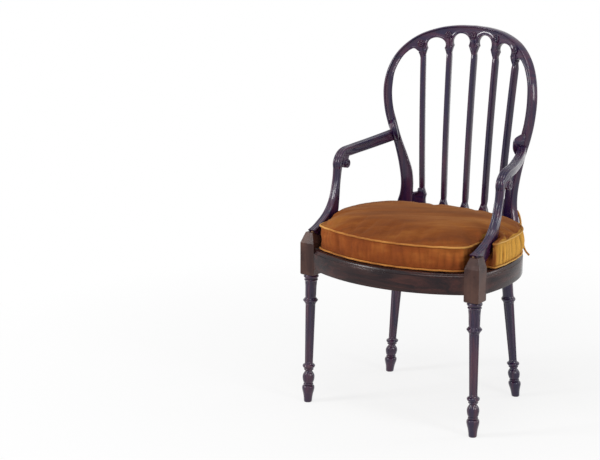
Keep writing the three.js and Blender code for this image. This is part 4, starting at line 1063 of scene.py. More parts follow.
def carve_leg(low, high, scale, leaves):
    """The radius of a leg at an angle and a height: flutes, lobes on the vase and a band of leaves."""
    def radius_at(angle, z, radius):
        reach = min(z - low - 2, high - 2 - z)
        if reach > 0:
            width = 0.78 * math.sqrt(min(1.0, 1 - (1 - min(reach / 6, 1)) ** 2))
            off = abs(between(angle, FLUTES, math.pi / FLUTES))
            if off < width:
                return radius - FLUTE_DEPTH * math.sqrt(1 - (off / width) ** 2) * min(1, width / 0.6)
        at = z / scale
        if VASE_LOW < at < VASE_HIGH:
            swell = math.sin(math.pi * (at - VASE_LOW) / (VASE_HIGH - VASE_LOW)) ** 0.5
            off = abs(between(angle, VASE_LOBES))
            groove = math.exp(-((1 - off) / 0.16) ** 2)
            tip = min(max((at - 70) / 14, 0), 1) ** 1.5
            return radius - swell * (1.3 * groove + 0.35 * tip * (1 - off))
        if leaves and LEAF_LOW < z < LEAF_HIGH:
            s = (z - LEAF_LOW) / (LEAF_HIGH - LEAF_LOW)
            width = 0.9 * (1 - s ** 2.4) ** 0.8
            off = abs(between(angle, LEAVES, math.pi / LEAVES))
            fade = min(1, (z - LEAF_LOW) / 2, (LEAF_HIGH - z) / 2)
            if off < width:
                vein = 0.45 * math.exp(-(off / 0.13) ** 2)
                return radius + fade * (0.55 * math.sqrt(1 - (off / width) ** 2) - vein)
            back = abs(between(angle, LEAVES))
            if s > 0.35 and back < 0.55 * (1 - ((s - 0.35) / 0.65) ** 2):
                return radius - fade * 0.3
            return radius - fade * 1.1
        return radius
    return radius_at


def leaning(leg, side, splay, x, y, z):
    """A copy of a leg with its head at x, y, z and its foot splayed away from it."""
    out, forward = side * splay[0], splay[1]
    slant = Matrix((
        (1, 0, -out / z, (side * x + out) * MM), (0, 1, -forward / z, (y + forward) * MM),
        (0, 0, 1, 0), (0, 0, 0, 1),
    ))
    return copy_of(leg, "leg", slant)


def leg_block(side):
    """The square head of a front leg: its foot is cut in to the rings and its top is sloped."""
    low = BLOCK_BOTTOM + BLOCK_CHAMFER
    piece = start(bpy.ops.mesh.primitive_cube_add, f"leg_block_{side}", size=1)
    bpy.ops.transform.resize(value=(BLOCK * MM, BLOCK * MM, (BLOCK_SHOULDER - low) * MM))
    bpy.ops.transform.translate(value=(0, 0, (low + BLOCK_SHOULDER) / 2 * MM))
    pick_faces(piece, lambda middle, normal: normal.z < -0.9)
    bpy.ops.mesh.extrude_region_move(TRANSFORM_OT_translate={"value": (0, 0, -BLOCK_CHAMFER * MM)})
    bpy.ops.transform.resize(value=(0.86, 0.86, 1), center_override=(0, 0, BLOCK_BOTTOM * MM))
    pick_faces(piece, lambda middle, normal: normal.z > 0.9)
    slope = (BLOCK_TOP - BLOCK_SHOULDER) * MM
    bpy.ops.mesh.extrude_region_move(TRANSFORM_OT_translate={"value": (0, 0, slope)})
    share = BLOCK_HEAD / BLOCK
    bpy.ops.transform.resize(value=(share, 1, 1), center_override=(0, 0, BLOCK_TOP * MM))
    rear = (0, BLOCK / 2 * MM, BLOCK_TOP * MM)
    bpy.ops.transform.resize(value=(1, (1 + share) / 2, 1), center_override=rear)
    leave()
    apply(piece, "BEVEL", width=0.7 * MM, segments=2, limit_method="ANGLE")
    smooth(piece, 18)
    return moved(piece, Matrix.Translation((side * LEG_X * MM, 0, 0)))


def straight_leg(name, ankle, neck, shaft, leaves):
    rows, low, high = leg_rows(ankle, neck, *shaft)
    piece = turned(name, rows, carve_leg(low, high, ankle / FRONT_ANKLE, leaves))
    smooth(piece, 40)
    return piece


# Seat rails

FRONT_IN_X = LEG_X - BLOCK / 2
FRONT_RADIUS = (FRONT_IN_X ** 2 + FRONT_BOW ** 2) / (2 * FRONT_BOW)
RAIL_SECTION = (
    (1.2, 0), (0.35, 0.35), (0, 1.2), (0, 20), (0, 42.6), (0.3, 43.1), (1.7, 43.7), (2, 44.2), (2, 45.6),
    (2.2, 46), (3.0, 46.5), (4.0, 47.6), (4.6, 49), (5.2, 50.4), (6.2, 51.4), (7.6, 52), (26, 52),
    (26, 49.5), (38, 49.5), (38, 1), (37, 0),
)


def front_y(x, inset=0.0):
    radius = FRONT_RADIUS - inset
    return -BLOCK / 2 - FRONT_BOW + FRONT_RADIUS - math.sqrt(radius ** 2 - x ** 2)


def face_point(t):
    if t < 0:
        return SEAT_HALF - SIDE_TAPER * t * t, lerp(WIDEST_Y, BLOCK / 2, -t)
    angle = t * math.pi / 2
    power = 2 / SQUARENESS
    return (SEAT_HALF * max(math.cos(angle), 0) ** power, WIDEST_Y + SEAT_REACH * math.sin(angle) ** power)


def rear_face_y(x):
    return WIDEST_Y + SEAT_REACH * (1 - (abs(x) / SEAT_HALF) ** SQUARENESS) ** (1 / SQUARENESS)


def rail_band(name, path):
    """A rail drawn along its face, with its moulded edge and the step for the cane."""
    path = np.array(path)
    rings = []
    for (x, y), (nx, ny) in zip(path, across_of(np.gradient(path, axis=0))):
        rings.append([(x + nx * inset, y + ny * inset, RAIL_BOTTOM + up) for inset, up in RAIL_SECTION])
    return drawn(name, rings)


def cut(piece, name, keeps):
    """A copy of the piece, cut square; keeps are (axis, place, side kept)."""
    part = copy_of(piece, name)
    for axis, place, kept in keeps:
        edit(part)
        bpy.ops.mesh.select_all(action="SELECT")
        middle, normal = [0, 0, 0], [0, 0, 0]
        middle[axis], normal[axis] = place * MM, 1
        bpy.ops.mesh.bisect(plane_co=middle, plane_no=normal, use_fill=True,
                            clear_inner=kept > 0, clear_outer=kept < 0)
        leave()
    outward(part)
    smooth(part, 32)
    return part


def seat_rails():
    half = [face_point(t) for t in [-1 + i / 10 for i in range(10)] + steps(36)]
    half[-1] = (0, half[-1][1])
    right = [(half[0][0], half[0][1] - 5)] + half
    band = rail_band("seat_band", right + [(-x, y) for x, y in right[-2::-1]])
    arc = [(x, front_y(x)) for x in np.linspace(-FRONT_IN_X - 3, FRONT_IN_X + 3, 49)]
    rails = {"front": rail_band("front_rail_wood", arc)}
    smooth(rails["front"], 32)
    rear_edge, outer_edge = POST_IN_X - JOINT_GAP, POST_OUT_X + JOINT_GAP
    behind = (1, 200, 1)
    rails["rear"] = cut(band, "rear_rail_wood", [(0, -rear_edge, 1), (0, rear_edge, -1), behind])
    for name, side in SIDES:
        rails[name] = cut(band, f"side_rail_wood_{name}", [(0, side * outer_edge, side)])
        rails["joint_" + name] = cut(band, f"post_joint_{name}", [
            (0, side * POST_IN_X, side), (0, side * POST_OUT_X, -side), behind])
    bpy.data.objects.remove(band)
    return rails


# Arms

ARM_WAY = ((0, 0, 0.34), (0.3, 0.2, 0.56), (0.62, 0.5, 0.79), (0.91, 0.85, 0.99))
KNUCKLE_WAY = ((0.34, 0.91), (0.78, 0.66), (1, 0.32))
ARM_START_X = 191.5
ARM_STEPS = 84
LAP_X = 189.5
LAP_HALF = 31
LAP_REACH = (
    (-1, 0), (-0.95, 0.34), (-0.6, 0.7), (-0.33, 0.87), (0, 0.97), (0.3, 1), (0.5, 0.93), (0.66, 0.74),
    (0.8, 0.42), (0.9, 0.18), (1, 0),
)
SCREW_X = 195.6
PLUG = ((6.4, 2.5), (9.2, 2.5), (9.7, 2.1))
SCREW = ((5.9, 2.2), (4.6, 2.2), (3.2, 1.5), (-20, 1.5), (-27, 0.4))
SUPPORT_FRONT = (
    (-0.07, 0.268), (0.1, 0.295), (0.28, 0.34), (0.48, 0.41), (0.64, 0.51), (0.75, 0.63), (0.82, 0.76),
    (0.87, 0.88), (0.89, 1),
)
SUPPORT_BACK = (
    (1.03, 1), (0.99, 0.88), (0.955, 0.76), (0.92, 0.6), (0.86, 0.42), (0.76, 0.29), (0.6, 0.2), (0.4, 0.1),
    (0.3, 0.0),
)
SUPPORT_STEPS = 64
SUPPORT_TOP_Y = (SUPPORT_FRONT[-1][0] + SUPPORT_BACK[0][0]) / 2 * SUPPORT_REACH


def support_place(out, up):
    """A flat place on the bracket, from its shares of the reach and the height."""
    return (out * SUPPORT_REACH, RAIL_TOP + up * (SUPPORT_TOP - RAIL_TOP), 0)


def reeded(width, depth, reeds=3, rise=1.6, sink=0):
    """A section with reeds across its top: (x, up) from its middle; sink lowers the middle reed."""
    w, d = width / 2, depth / 2
    top = []
    span = 2 * (w - 1.2) / reeds
    for k in range(reeds):
        left = -w + 1.2 + k * span
        for t in (0.0, 0.08, 0.2, 0.35, 0.5, 0.65, 0.8, 0.92):
            down = sink * math.sin(math.pi * t) ** 0.4 if k == reeds // 2 else 0
            top.append((left + t * span, d - rise - down + rise * math.sin(math.pi * t) ** 0.6))
    top.append((w - 1.2, d - rise))
    side = [(w - 0.2, d - rise - 0.8), (w, d - rise - 2.2), (w - 0.3, d - rise - 4), (w - 1.3, d - rise - 5),
            (w - 1.4, 0), (w - 1.6, -d + 5), (w - 3, -d + 1.8), (w - 6, -d)]
    left = [(-x, y) for x, y in side[::-1]]
    return top + side + left


def arm_frames(count):
    first = back_point(ARM_START_X, -BACK_THICK / 4, ARM_JOINT_Z)
    points = [(lerp(first.x, ARM_X, out), lerp(first.y, SCROLL_Y, forward), lerp(ARM_JOINT_Z, ARM_Z, fall))
              for out, forward, fall in ARM_WAY]
    points += [(ARM_X, lerp(SCROLL_Y, SUPPORT_TOP_Y, forward), lerp(SUPPORT_TOP, ARM_Z, up))
               for forward, up in KNUCKLE_WAY]
    points.append((ARM_X, SUPPORT_TOP_Y, SUPPORT_TOP + JOINT_GAP))
    line = smooth_line(points, count)
    frames = []
    for i, at in enumerate(line):
        along = (line[min(i + 1, count)] - line[max(i - 1, 0)]).normalized()
        side = Vector((along.y, -along.x, 0))
        side = side.normalized() if side.length > 0.2 else Vector((1, 0, 0))
        if side.x < 0:
            side.negate()
        side = (side - along * side.dot(along)).normalized()
        up = side.cross(along).normalized()
        if up.z < 0 or (up.z < 0.2 and up.y > 0):
            up.negate()
        frames.append((at, side, up))
    return frames


def arm_rail():
    depths = flat_line(list(enumerate(ARM_DEPTH)), ARM_STEPS)
    rings = []
    for (at, side, up), (_, depth) in zip(arm_frames(ARM_STEPS), depths):
        rings.append([at + side * x + up * y for x, y in reeded(ARM_WIDTH, depth)])
    return drawn("arm_rail", rings)


def arm_lap():
    """The arm's end: a leaf that swells out before the stile, highest at its inner side."""
    rings = []
    table = flat_line(LAP_REACH, 60)
    for k in steps(30):
        s = lerp(-0.992, 0.992, k)
        end = (1 - abs(s) ** 2.4) ** 0.45
        axis = LAP_X + 0.25 * s * LAP_HALF
        z = ARM_JOINT_Z + 4 + s * LAP_HALF
        ring = []
        for t in steps(40):
            angle = math.pi * t
            out = max(math.cos(angle), 0)
            lower = 0.42 * out * min(max(s + 0.5, 0), 1)
            away = 27 * max(value_at(table, min(s + lower, 1)), 0.012) * math.sin(angle) ** 0.7
            across = (8.5 * (0.6 + 0.4 * math.sin(angle)) if out == 0 else 12.5) * math.cos(angle)
            ring.append(back_point(axis + across * end, -6 - away, z))
        ring += [back_point(axis + end * x, -3, z) for x in (-5, -1, 4, 9)]
        rings.append(ring)
    return drawn("arm_lap", rings)


def arm_scroll():
    """The round scroll behind the knuckle, with a rim, a hollow and a button on each face."""
    half = [
        (13.4, 1.2), (13.2, 2.6), (12.5, 3.5), (11.6, 3.9), (11.2, 4.8), (11.1, 6.6), (11.6, 7.8),
        (12.5, 8.8), (12.8, 10), (12.4, 11), (11.6, 11.5),
    ]
    rows = [(-x, r) for x, r in half] + [(x, r) for x, r in half[::-1]]
    piece = turned("arm_scroll", rows, sides=56)
    turn = Matrix.Rotation(math.pi / 2, 4, "Y")
    return moved(piece, Matrix.Translation(Vector((ARM_X, SCROLL_Y - 10, SCROLL_Z)) * MM) @ turn)


def scroll_web():
    """The wood between knuckle, arm and scroll, curled into the scroll."""
    y, z = SUPPORT_TOP_Y, SUPPORT_TOP
    outline = flat_line([
        (y + 4, z + 22), (y + 6, z + 8), (y + 16, SCROLL_Z - 4), (y + 19, SCROLL_Z - 9),
        (SCROLL_Y - 18, SCROLL_Z - 10), (SCROLL_Y - 11, SCROLL_Z - 9.5), (SCROLL_Y - 2, SCROLL_Z),
        (SCROLL_Y - 2, SCROLL_Z + 12), (SCROLL_Y + 1, ARM_Z - 9), (SCROLL_Y - 18, ARM_Z - 6),
    ], 60, closed=True)
    inner = [(lerp(y, SCROLL_Y - 16, 0.05), lerp(z, SCROLL_Z + 8, 0.05)) for y, z in outline]
    rows = ((-9.6, inner), (-9, outline), (9, outline), (9.6, inner))
    return drawn("scroll_web", [[(ARM_X + x, y, z) for y, z in line] for x, line in rows])


def arm():
    return joined("arm_wood", [arm_rail(), arm_lap(), arm_scroll(), scroll_web()])


def fastening(name, side, rows):
    """A round piece along the arm's screw: rows of (depth from the back's middle, radius)."""
    rings = []
    for depth, radius in rows:
        rings.append([back_point(SCREW_X + radius * math.cos(a), depth, ARM_JOINT_Z + radius * math.sin(a))
                      for a in turn_angles(32)])
    piece = drawn(name, rings)
    if side < 0:
        right = piece
        piece = mirrored(right, name)
        bpy.data.objects.remove(right)
    smooth(piece, 40)
    return piece


def support():
    """The swept bracket: reeds run down its front face from the knuckle to the block."""
    front = smooth_line([support_place(*share) for share in SUPPORT_FRONT], SUPPORT_STEPS)
    back = smooth_line([support_place(*share) for share in SUPPORT_BACK[::-1]], SUPPORT_STEPS)
    rings = []
    for f, b, t in zip(front, back, steps(SUPPORT_STEPS)):
        depth = (f - b).length
        toward = (f - b) / depth
        middle = (f + b) / 2
        sink = 1.5 * math.sin(math.pi * max(t - 0.12, 0) / 0.88) ** 0.7
        section = reeded(lerp(SUPPORT_WIDTH - 1, ARM_WIDTH, t), depth, rise=lerp(1.7, 1.6, t), sink=sink)
        axis_x = lerp(SUPPORT_X, ARM_X, eased(t))
        turn = 0.16 * math.sin(math.pi * min(t * 1.15, 1)) ** 0.7
        ring = []
        for x, up in section:
            out = toward.x * up
            ring.append((axis_x + x - turn * out, middle.x + out + turn * x, middle.y + toward.y * up))
        rings.append(ring)
    return drawn("arm_support_wood", rings)


# Cushion and ties

CUSHION_MIDDLE = Vector((0, WIDEST_Y))
SEAM_HIGH = CUSHION_BOTTOM + 63
SEAM_LOW = CUSHION_BOTTOM + 4
PIPING = 2.4


def cushion_rear_y(x):
    power = 2.9 if x > 0 else 2.3
    share = 1 - (abs(x) / (SEAT_HALF - 14)) ** power
    return WIDEST_Y + (SEAT_REACH - 66) * max(share, 0) ** (1 / power)


def cushion_outline(count):
    in_x = FRONT_IN_X
    corner_x, waist_x, wide_x = in_x - 10, in_x - 4, SEAT_HALF - 14
    front = [(corner_x * s, front_y(corner_x * s) + 19) for s in (0, 0.35, 0.7, 0.92)]
    half_block = BLOCK / 2
    side = [
        (corner_x, -half_block / 4), (waist_x, half_block), (waist_x, BLOCK),
        (LEG_X - half_block / 4, BLOCK + half_block), (wide_x - 3, BLOCK + half_block + 4),
        (wide_x, lerp(2 * BLOCK, WIDEST_Y, 0.4)),
    ]
    across = [wide_x * math.cos(t * math.pi / 2) for t in steps(9)]
    across[-1] = 0
    right = front + side + [(x, cushion_rear_y(x)) for x in across]
    left = front + side + [(x, cushion_rear_y(-x)) for x in across]
    whole = right + [(-x, y) for x, y in left[-2:0:-1]]
    shifted = [(x + 7 * min(max(y / WIDEST_Y, 0), 1), y, 0) for x, y in whole]
    return smooth_line(shifted, count, closed=True)


def support_back_y(z):
    """How far back the arm support reaches at a height."""
    places = [support_place(*share) for share in SUPPORT_BACK[::-1]]
    return value_at([(height, y) for y, height, _ in places], z)


def clear_of_wood(x, y, z, room):
    """Pushes a point of the cushion back out of the arm supports."""
    for side in (-1, 1):
        across = abs(x - side * SUPPORT_X) - SUPPORT_WIDTH / 2
        limit = support_back_y(z) + room
        if across < room and 20 < y < limit:
            share = 1 if across < 0 else 1 - (across / room) ** 2
            y = lerp(y, limit, share)
    return x, y, z


# Each ring: its share of the outline, of the height and of the crown, and how far it is drawn in
CUSHION_RINGS = (
    (0.3, 0, 0, 0), (0.6, 0, 0, 0), (0.85, 0, 0, 0), (0.95, 0, 0, 0), (0.985, 0.02, 0, 0), (1, 0.06, 0, 0),
    (1, 0.12, 0, 1.4), (1, 0.25, 0, 1.6), (1, 0.4, 0, 1.4), (1, 0.55, 0, 1.2), (1, 0.7, 0, 1.4),
    (1, 0.84, 0, 1.6), (1, 0.9, 0, 1), (1, 0.955, 0, 0), (0.985, 0.99, 0, 0), (0.955, 1.0, 0.1, 0),
    (0.9, 1, 0.34, 0), (0.82, 1, 0.58, 0), (0.7, 1, 0.78, 0), (0.55, 1, 0.92, 0), (0.38, 1, 0.98, 0),
    (0.2, 1, 1, 0), (0.06, 1, 1, 0),
)
CROWN = 22
CLOTH = {
    "quality": 6, "mass": 0.25, "tension_stiffness": 14, "compression_stiffness": 12, "shear_stiffness": 6,
    "bending_stiffness": 0.35, "use_pressure": True, "uniform_pressure_force": 4, "shrink_min": -0.03,
    "vertex_group_mass": "held",
}
CLOTH_STEPS = 20
SWELL_CAP = 9 * MM
VOXEL, QUICK_VOXEL = 5 * MM, 6 * MM


def cushion_form():
    outline = cushion_outline(200)
    rings = []
    for out, up, crown, drawn_in in CUSHION_RINGS:
        ring = []
        for point in outline:
            arm_out = Vector((point.x, point.y)) - CUSHION_MIDDLE
            arm_out = arm_out.normalized() * (arm_out.length * out - drawn_in - 1.2)
            z = CUSHION_BOTTOM + up * CUSHION_THICK + crown * CROWN
            ring.append(clear_of_wood(arm_out.x, arm_out.y + WIDEST_Y, z, 4))
        rings.append(ring)
    return drawn("velvet_cushion", rings)


def outline_table():
    """The cushion's reach from its middle in every direction, in millimetres."""
    line = cushion_outline(720)
    table = sorted((math.atan2(p.y - WIDEST_Y, p.x), math.hypot(p.x, p.y - WIDEST_Y)) for p in line)
    return np.array(table).T


def filled_by_cloth(piece):
    """Lets the cover swell under its filling, held along its two seams and where it lies flat."""
    apply(piece, "REMESH", mode="VOXEL", voxel_size=VOXEL)
    rest = places_of(piece)
    angles, reaches = outline_table()
    x, y, z = rest[:, 0] / MM, rest[:, 1] / MM - WIDEST_Y, rest[:, 2] / MM
    reach = np.interp(np.arctan2(y, x), angles, reaches, period=2 * math.pi)
    inset = reach - np.hypot(x, y)
    seam = ((np.abs(z - SEAM_HIGH) < 3.6) | (np.abs(z - SEAM_LOW) < 3.6)) & (inset < 5)
    flat = (z < SEAM_LOW) & (inset > 12)
    held = piece.vertex_groups.new(name="held")
    held.add([int(i) for i in np.nonzero(seam | flat)[0]], 1.0, "REPLACE")
    cloth = piece.modifiers.new("cloth", "CLOTH")
    for key, value in CLOTH.items():
        setattr(cloth.settings, key, value)
    cloth.settings.effector_weights.gravity = 0
    cloth.collision_settings.use_collision = False
    cloth.collision_settings.use_self_collision = False
    scene = bpy.context.scene
    cloth.point_cache.frame_start, cloth.point_cache.frame_end = 1, CLOTH_STEPS
    for number in range(1, CLOTH_STEPS + 1):
        scene.frame_set(number)
    use(piece)
    bpy.ops.object.modifier_apply(modifier="cloth")
    scene.frame_set(1)
    step = places_of(piece) - rest
    size = np.linalg.norm(step, axis=1)
    share = np.where(size > 1e-9, SWELL_CAP * np.tanh(size / SWELL_CAP) / np.maximum(size, 1e-9), 1)
    set_places(piece, rest + step * share[:, None])
    piece.vertex_groups.clear()


def folded(piece):
    """Soft upright folds in the band, fullest at the right, and shallow dents in the crown; it also stores
    the folds' painted light and shade, lighter on ridges and darker in valleys.
    """
    angles, reaches = outline_table()
    places = places_of(piece) / MM
    result = places.copy()
    painted_fold_shades = np.zeros(len(places))
    for i, (x, y, z) in enumerate(places):
        dx, dy = x, y - WIDEST_Y
        angle = math.atan2(dy, dx)
        reach = float(np.interp(angle, angles, reaches, period=2 * math.pi))
        length = math.hypot(dx, dy)
        height = (z - SEAM_LOW) / (SEAM_HIGH - SEAM_LOW)
        edge = length / reach
        push = 0.0
        if 0 < height < 1 and edge > 0.9:
            swell = math.sin(math.pi * height) ** 0.55
            right = math.exp(-((angle - 0.12) / 0.62) ** 2)
            lean = 1.3 * math.sin(angle * 5 + 1) * height
            fold = abs(math.sin(angle * 33 + 2.6 * math.sin(angle * 7.3) + lean)) ** 0.6 - 0.62
            fine = math.sin(angle * 91 + 2.2 * math.sin(angle * 13) + 4 * height)
            push += swell * ((0.4 + 3.1 * right) * fold + (0.25 + 0.5 * right) * fine)
            push += 5 * math.exp(-((angle - 0.6) / 0.34) ** 2) * math.sin(math.pi * height ** 0.6) ** 1.3
            # painted light and shade: fold ridges are marked lighter and valleys darker
            painted_fold_shades[i] = swell * (0.25 + right) * (1.6 * fold + 0.3 * fine)
        if length > 1:
            result[i, 0] += push * dx / length
            result[i, 1] += push * dy / length
        if height >= 1 or edge < 0.93:
            ripple = math.sin(x * 0.031 + 1.7 * math.sin(y * 0.023))
            ripple *= math.sin(y * 0.037 + 1.1 * math.sin(x * 0.019))
            near = math.exp(-((edge - 0.86) / 0.09) ** 2)
            pucker = near * math.sin(angle * 44 + 3 * math.sin(angle * 9))
            if z > CUSHION_BOTTOM + 30:
                result[i, 2] += 0.9 * ripple + 0.3 * pucker
        result[i, 2] = max(result[i, 2], CUSHION_BOTTOM)
        result[i] = clear_of_wood(*result[i], 3.2)
    set_places(piece, result * MM)
    # the painted fold light and shade goes to the cushion's finish
    painted_fold_light_and_shade = piece.data.attributes.new("fold", "FLOAT", "POINT")
    painted_fold_light_and_shade.data.foreach_set("value", np.clip(painted_fold_shades, -1, 1))


def cushion():
    piece = cushion_form()
    filled_by_cloth(piece)
    apply(piece, "SUBSURF", levels=1, render_levels=1)
    folded(piece)
    smooth(piece, 60)
    return piece


def piping(name, z, out):
    """A covered cord along a seam."""
    points = []
    for point in cushion_outline(260):
        arm_out = Vector((point.x, point.y)) - CUSHION_MIDDLE
        arm_out = arm_out.normalized() * (arm_out.length + out)
        wave = 0.35 * math.sin(math.atan2(arm_out.y, arm_out.x) * 31)
        points.append(clear_of_wood(arm_out.x, arm_out.y + WIDEST_Y, z + wave, 6))
    return tube(name, points, PIPING, closed=True)


BOW = ((0, 0), (0.4, 0.3), (0.5, 0.75), (0, 1), (-0.5, 0.75), (-0.4, 0.3))
TAILS = {
    "outer": ((0, 0, 0), (0.03, 0.05, -0.2), (0.09, 0.08, -0.5), (0.19, 0.08, -0.68), (0.35, 0.07, -0.82)),
    "rear": ((0, 0, 0), (-0.04, 0.1, -0.2), (-0.04, 0.15, -0.5), (-0.01, 0.17, -0.75), (0.03, 0.18, -0.95)),
}


def knot_place(side):
    outer = at_height(OUTER_LINE, TIE_Z)
    point = back_point(outer - KNOT_IN, BACK_THICK / 2 + KNOT_RADIUS, TIE_Z)
    return Vector((side * point.x, point.y, point.z))


def cushion_tie(name, side):
    """A velvet cord from the cushion's edge round the stile, knotted behind it with one bow loop."""
    room = TIE_RADIUS + JOINT_GAP
    outer = at_height(OUTER_LINE, TIE_Z) + room
    inner = at_height(INNER_LINE, TIE_Z) - room
    depth = BACK_THICK / 2 + room
    start_point = Vector((inner, cushion_rear_y(side * inner - 7) - 2, TIE_Z))
    around = [(inner, -depth), (inner, depth), (outer, depth), (outer, -depth)]
    path = [start_point] + [back_point(x, y, TIE_Z) for x, y in around]
    loop = smooth_line([(side * p.x, p.y, p.z) for p in path], 48, closed=True)
    parts = [tube("tie_loop", loop, TIE_RADIUS, closed=True)]
    knot = knot_place(side)
    turns = []
    for k in range(44):
        t = 2 * math.pi * k / 44
        wide = 1.15 * (2.4 + 1.25 * math.cos(3 * t))
        turns.append(knot + Vector((wide * math.cos(2 * t), 1.9 * math.sin(3 * t), wide * math.sin(2 * t))))
    parts.append(tube("tie_knot", turns, 1.9, closed=True))
    height = BOW_HEIGHT if side > 0 else 0.6 * BOW_HEIGHT
    bow = []
    for i, (out, up) in enumerate(BOW):
        bow.append(knot + Vector((side * (out * BOW_WIDTH - BOW_LEAN * up), 0.8 * math.sin(i), up * height)))
    parts.append(tube("tie_bow", smooth_line(bow, 48, closed=True), 1.15 * TIE_RADIUS, closed=True))
    piece = joined(name, parts)
    smooth(piece, 60)
    return piece


def tie_tail(name, side, which, cloth):
    """A tie's loose end, which hangs from the knot."""
    out = 1 if which == "outer" else -1
    top = knot_place(side) + Vector((side * out * (TIE_RADIUS + JOINT_GAP), 0, -KNOT_RADIUS - JOINT_GAP))
    points = [top + Vector((side * a, b, c)) * TAIL_DROP for a, b, c in TAILS[which]]
    line = smooth_line(points, 32)
    piece = tube(name, line, TIE_RADIUS)
    finished(piece, cloth, (f"tie_tail_{'left' if side < 0 else 'right'}_{which}",))
    return piece


# Studio: each lamp's place and target in metres, its width and height, and its power in watts

WORLD_STRENGTH = 0.38
LAMPS = (
    ("left_window", (-2.3, -2.5, 2.1), (0, 0, 0.5), 0.8, 1.2, 63),
    ("right_window", (3.0, -0.8, 1.7), (0, 0, 0.5), 0.8, 1.2, 30),
    ("overhead", (0.2, -0.9, 3.0), (0, 0, 0.4), 1.2, 0.8, 18),
    ("rear_window", (2.6, 2.3, 1.5), (0, 0, 0.6), 0.7, 1.3, 16),
)


def seen_rays(tree):
    """1 for rays that are seen, also in reflections and through clear matter, and 0 for those that light."""
    path = node_of(tree, "ShaderNodeLightPath").outputs
    seen = maths(tree, "MAXIMUM", path["Is Camera Ray"], path["Is Glossy Ray"])
    return maths(tree, "MAXIMUM", seen, path["Is Transmission Ray"])


def add_floor():
    """A pale floor that is seen white, most of all far off, and keeps the chair's shadow."""
    piece = start(bpy.ops.mesh.primitive_plane_add, "floor", size=60)
    leave()
    finish, tree, shader, place = new_finish("pale floor")
    shader.inputs["Base Color"].default_value = (0.9, 0.9, 0.9, 1)
    shader.inputs["Roughness"].default_value = 0.9
    shader.inputs["Specular IOR Level"].default_value = 0.1
    away = node_of(tree, "ShaderNodeVectorMath", {0: place}, operation="LENGTH").outputs["Value"]
    share = maths(tree, "MULTIPLY", seen_rays(tree), ranged(tree, away, 0.4, 1.5, 0.78, 1))
    white = node_of(tree, "ShaderNodeEmission", {"Color": (1, 1, 1, 1), "Strength": 1}).outputs[0]
    blend = node_of(tree, "ShaderNodeMixShader", {0: share, 1: shader.outputs[0], 2: white}).outputs[0]
    tree.links.new(blend, tree.nodes["Material Output"].inputs["Surface"])
    piece.data.materials.append(finish)


def add_light(name, place, target, width, height, power):
    bpy.ops.object.light_add(type="AREA", location=place)
    light = bpy.context.object
    light.name = name
    light.data.shape = "RECTANGLE"
    light.data.size, light.data.size_y = width, height
    light.data.energy = power
    look(light, place, target)


def add_world():
    world = bpy.data.worlds.new("studio")
    world.use_nodes = True
    tree = world.node_tree
    background = tree.nodes["Background"]
    background.inputs["Color"].default_value = (1, 1, 1, 1)
    tree.links.new(ranged(tree, seen_rays(tree), 0, 1, WORLD_STRENGTH, 1), background.inputs["Strength"])
    bpy.context.scene.world = world


# The chair

add_camera()
bpy.context.scene.view_settings.view_transform = "Standard"

figure = wood_figure()
UPRIGHT, ACROSS, FORWARD = (0, 0, 0), (0, math.pi / 2, 0), (math.pi / 2, 0, 0)
plum = {
    "dark": (0.011, 0.004, 0.036), "warm": (0.066, 0.016, 0.044), "worn": (0.16, 0.06, 0.08), "wear": 0.25,
}
umber = {
    "dark": (0.012, 0.005, 0.007), "warm": (0.055, 0.017, 0.015), "worn": (0.16, 0.07, 0.045), "wear": 0.3,
    "coat": 0.12,
}
upright_wood = polished_wood("polished mahogany, upright", figure, UPRIGHT, **plum)
across_wood = polished_wood("polished mahogany, across", figure, ACROSS, **plum)
forward_wood = polished_wood("polished mahogany, forward", figure, FORWARD, **plum)
rail_wood = polished_wood("rail mahogany, across", figure, ACROSS, **umber)
side_wood = polished_wood("rail mahogany, forward", figure, FORWARD, **umber)
leg_wood = polished_wood("leg mahogany", figure, UPRIGHT, dark=(0.016, 0.006, 0.038),
                         warm=(0.076, 0.021, 0.042), worn=(0.2, 0.085, 0.07), wear=0.4)
block_wood = polished_wood("block mahogany", figure, UPRIGHT, dark=(0.043, 0.02, 0.018),
                           warm=(0.075, 0.035, 0.028), worn=(0.2, 0.1, 0.07), wear=0.4, coat=0.02)
plain_wood = polished_wood("plain beech", figure, ACROSS, dark=(0.2, 0.11, 0.055), warm=(0.36, 0.22, 0.12),
                           worn=(0.45, 0.3, 0.18), wear=0.3, coat=0)
nap = velvet_nap()
# for both velvets, side is the pale sheen colour painted on the side facing +X
cover = velvet("gold velvet", nap, 0.14, deep=(0.17, 0.048, 0.014), middle=(0.225, 0.065, 0.014),
               bright=(0.31, 0.108, 0.022), side=(0.56, 0.29, 0.05))
trim = velvet("gold velvet trim", nap, 0.3, deep=(0.3, 0.12, 0.03), middle=(0.46, 0.21, 0.05),
              bright=(0.6, 0.33, 0.09), side=(0.66, 0.4, 0.12))
iron = dark_iron()
cane = woven_cane()

for side_name, side in SIDES:
    for which in TAILS:
        tie_tail(f"velvet_tail_{side_name}_{which}", side, which, trim)

outer, openings = back_lines()
rails = seat_rails()
finished(rails["front"], rail_wood, ("front_rail",))
finished(rails["rear"], rail_wood, ("rear_rail",))
finished(crest_rail(outer, openings), across_wood, ("crest_rail",))
finished(lower_rail(), across_wood, ("lower_back_rail",))

flower = rosette()
for i, height in enumerate(ROSETTES):
    x = share_x(BAR_HEADS[i]) + ROSETTE_SHIFTS[i]
    piece = set_on_back(flower, f"rosette_{i + 1}", x, height, ROSETTE_DEPTH)
    finished(piece, upright_wood)
bpy.data.objects.remove(flower)

for i in range(5):
    finished(bar(i), upright_wood, (f"back_bar_{i + 1}",))

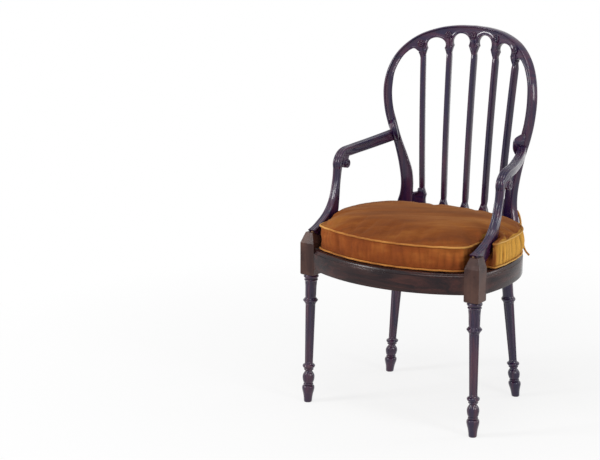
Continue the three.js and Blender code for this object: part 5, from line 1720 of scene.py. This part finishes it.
rear_head_y = rear_face_y(REAR_HEAD_X) - RAIL_WIDTH / 2 / math.sqrt(1 - (REAR_HEAD_X / SEAT_HALF) ** 2) - 6.8
straight_front = straight_leg("front_leg", FRONT_ANKLE, FRONT_NECK, FRONT_SHAFT, True)
straight_rear = straight_leg("rear_leg", REAR_ANKLE, REAR_NECK, REAR_SHAFT, False)
arm_form, support_form = arm(), support()
for side_name, side in SIDES:
    leg = leaning(straight_front, side, FRONT_SPLAY, LEG_X, 0, BLOCK_BOTTOM)
    block = leg_block(side)
    leg.data.materials.append(leg_wood)
    block.data.materials.append(block_wood)
    piece = joined(f"front_leg_wood_{side_name}", [leg, block])
    finished(piece, None, (f"front_leg_{side_name}",))
    leg = leaning(straight_rear, side, REAR_SPLAY, REAR_HEAD_X, rear_head_y, RAIL_BOTTOM)
    post_parts = [stile(side, outer, openings), leg, rails["joint_" + side_name]]
    piece = joined(f"rear_post_wood_{side_name}", post_parts)
    smooth(piece, 40)
    finished(piece, upright_wood, (f"rear_post_{side_name}",))
    finished(rails[side_name], side_wood, (f"side_rail_{side_name}",))
    for form, wood, node in ((arm_form, forward_wood, "arm"), (support_form, upright_wood, "arm_support")):
        name = f"{node}_wood_{side_name}"
        piece = mirrored(form, name) if side < 0 else copy_of(form, name)
        smooth(piece, 40)
        finished(piece, wood, (f"{node}_{side_name}",))
    piece = fastening(f"plug_wood_{side_name}", side, PLUG)
    finished(piece, forward_wood, (f"screw_plug_{side_name}",))
    piece = fastening(f"screw_iron_{side_name}", side, SCREW)
    finished(piece, iron, (f"arm_screw_{side_name}",))
    finished(cushion_tie(f"velvet_tie_{side_name}", side), trim, (f"cushion_tie_{side_name}",))
for form in (straight_front, straight_rear, arm_form, support_form):
    bpy.data.objects.remove(form)

squab = finished(cushion(), cover, ("squab_cushion",))
finished(piping("piping_high", SEAM_HIGH, 0.4), trim)
finished(piping("piping_low", SEAM_LOW, 0.4), trim)

kept_nodes = {"corner_block": plain_wood, "support_dowel": plain_wood, "knuckle_dowel": plain_wood,
              "block_screw": iron, "cane_seat": cane}
for name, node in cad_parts.items():
    for beginning, finish in kept_nodes.items():
        if name.startswith(beginning):
            node.data.materials.clear()
            node.data.materials.append(finish)

add_floor()
add_world()
for lamp in LAMPS:
    add_light(*lamp)
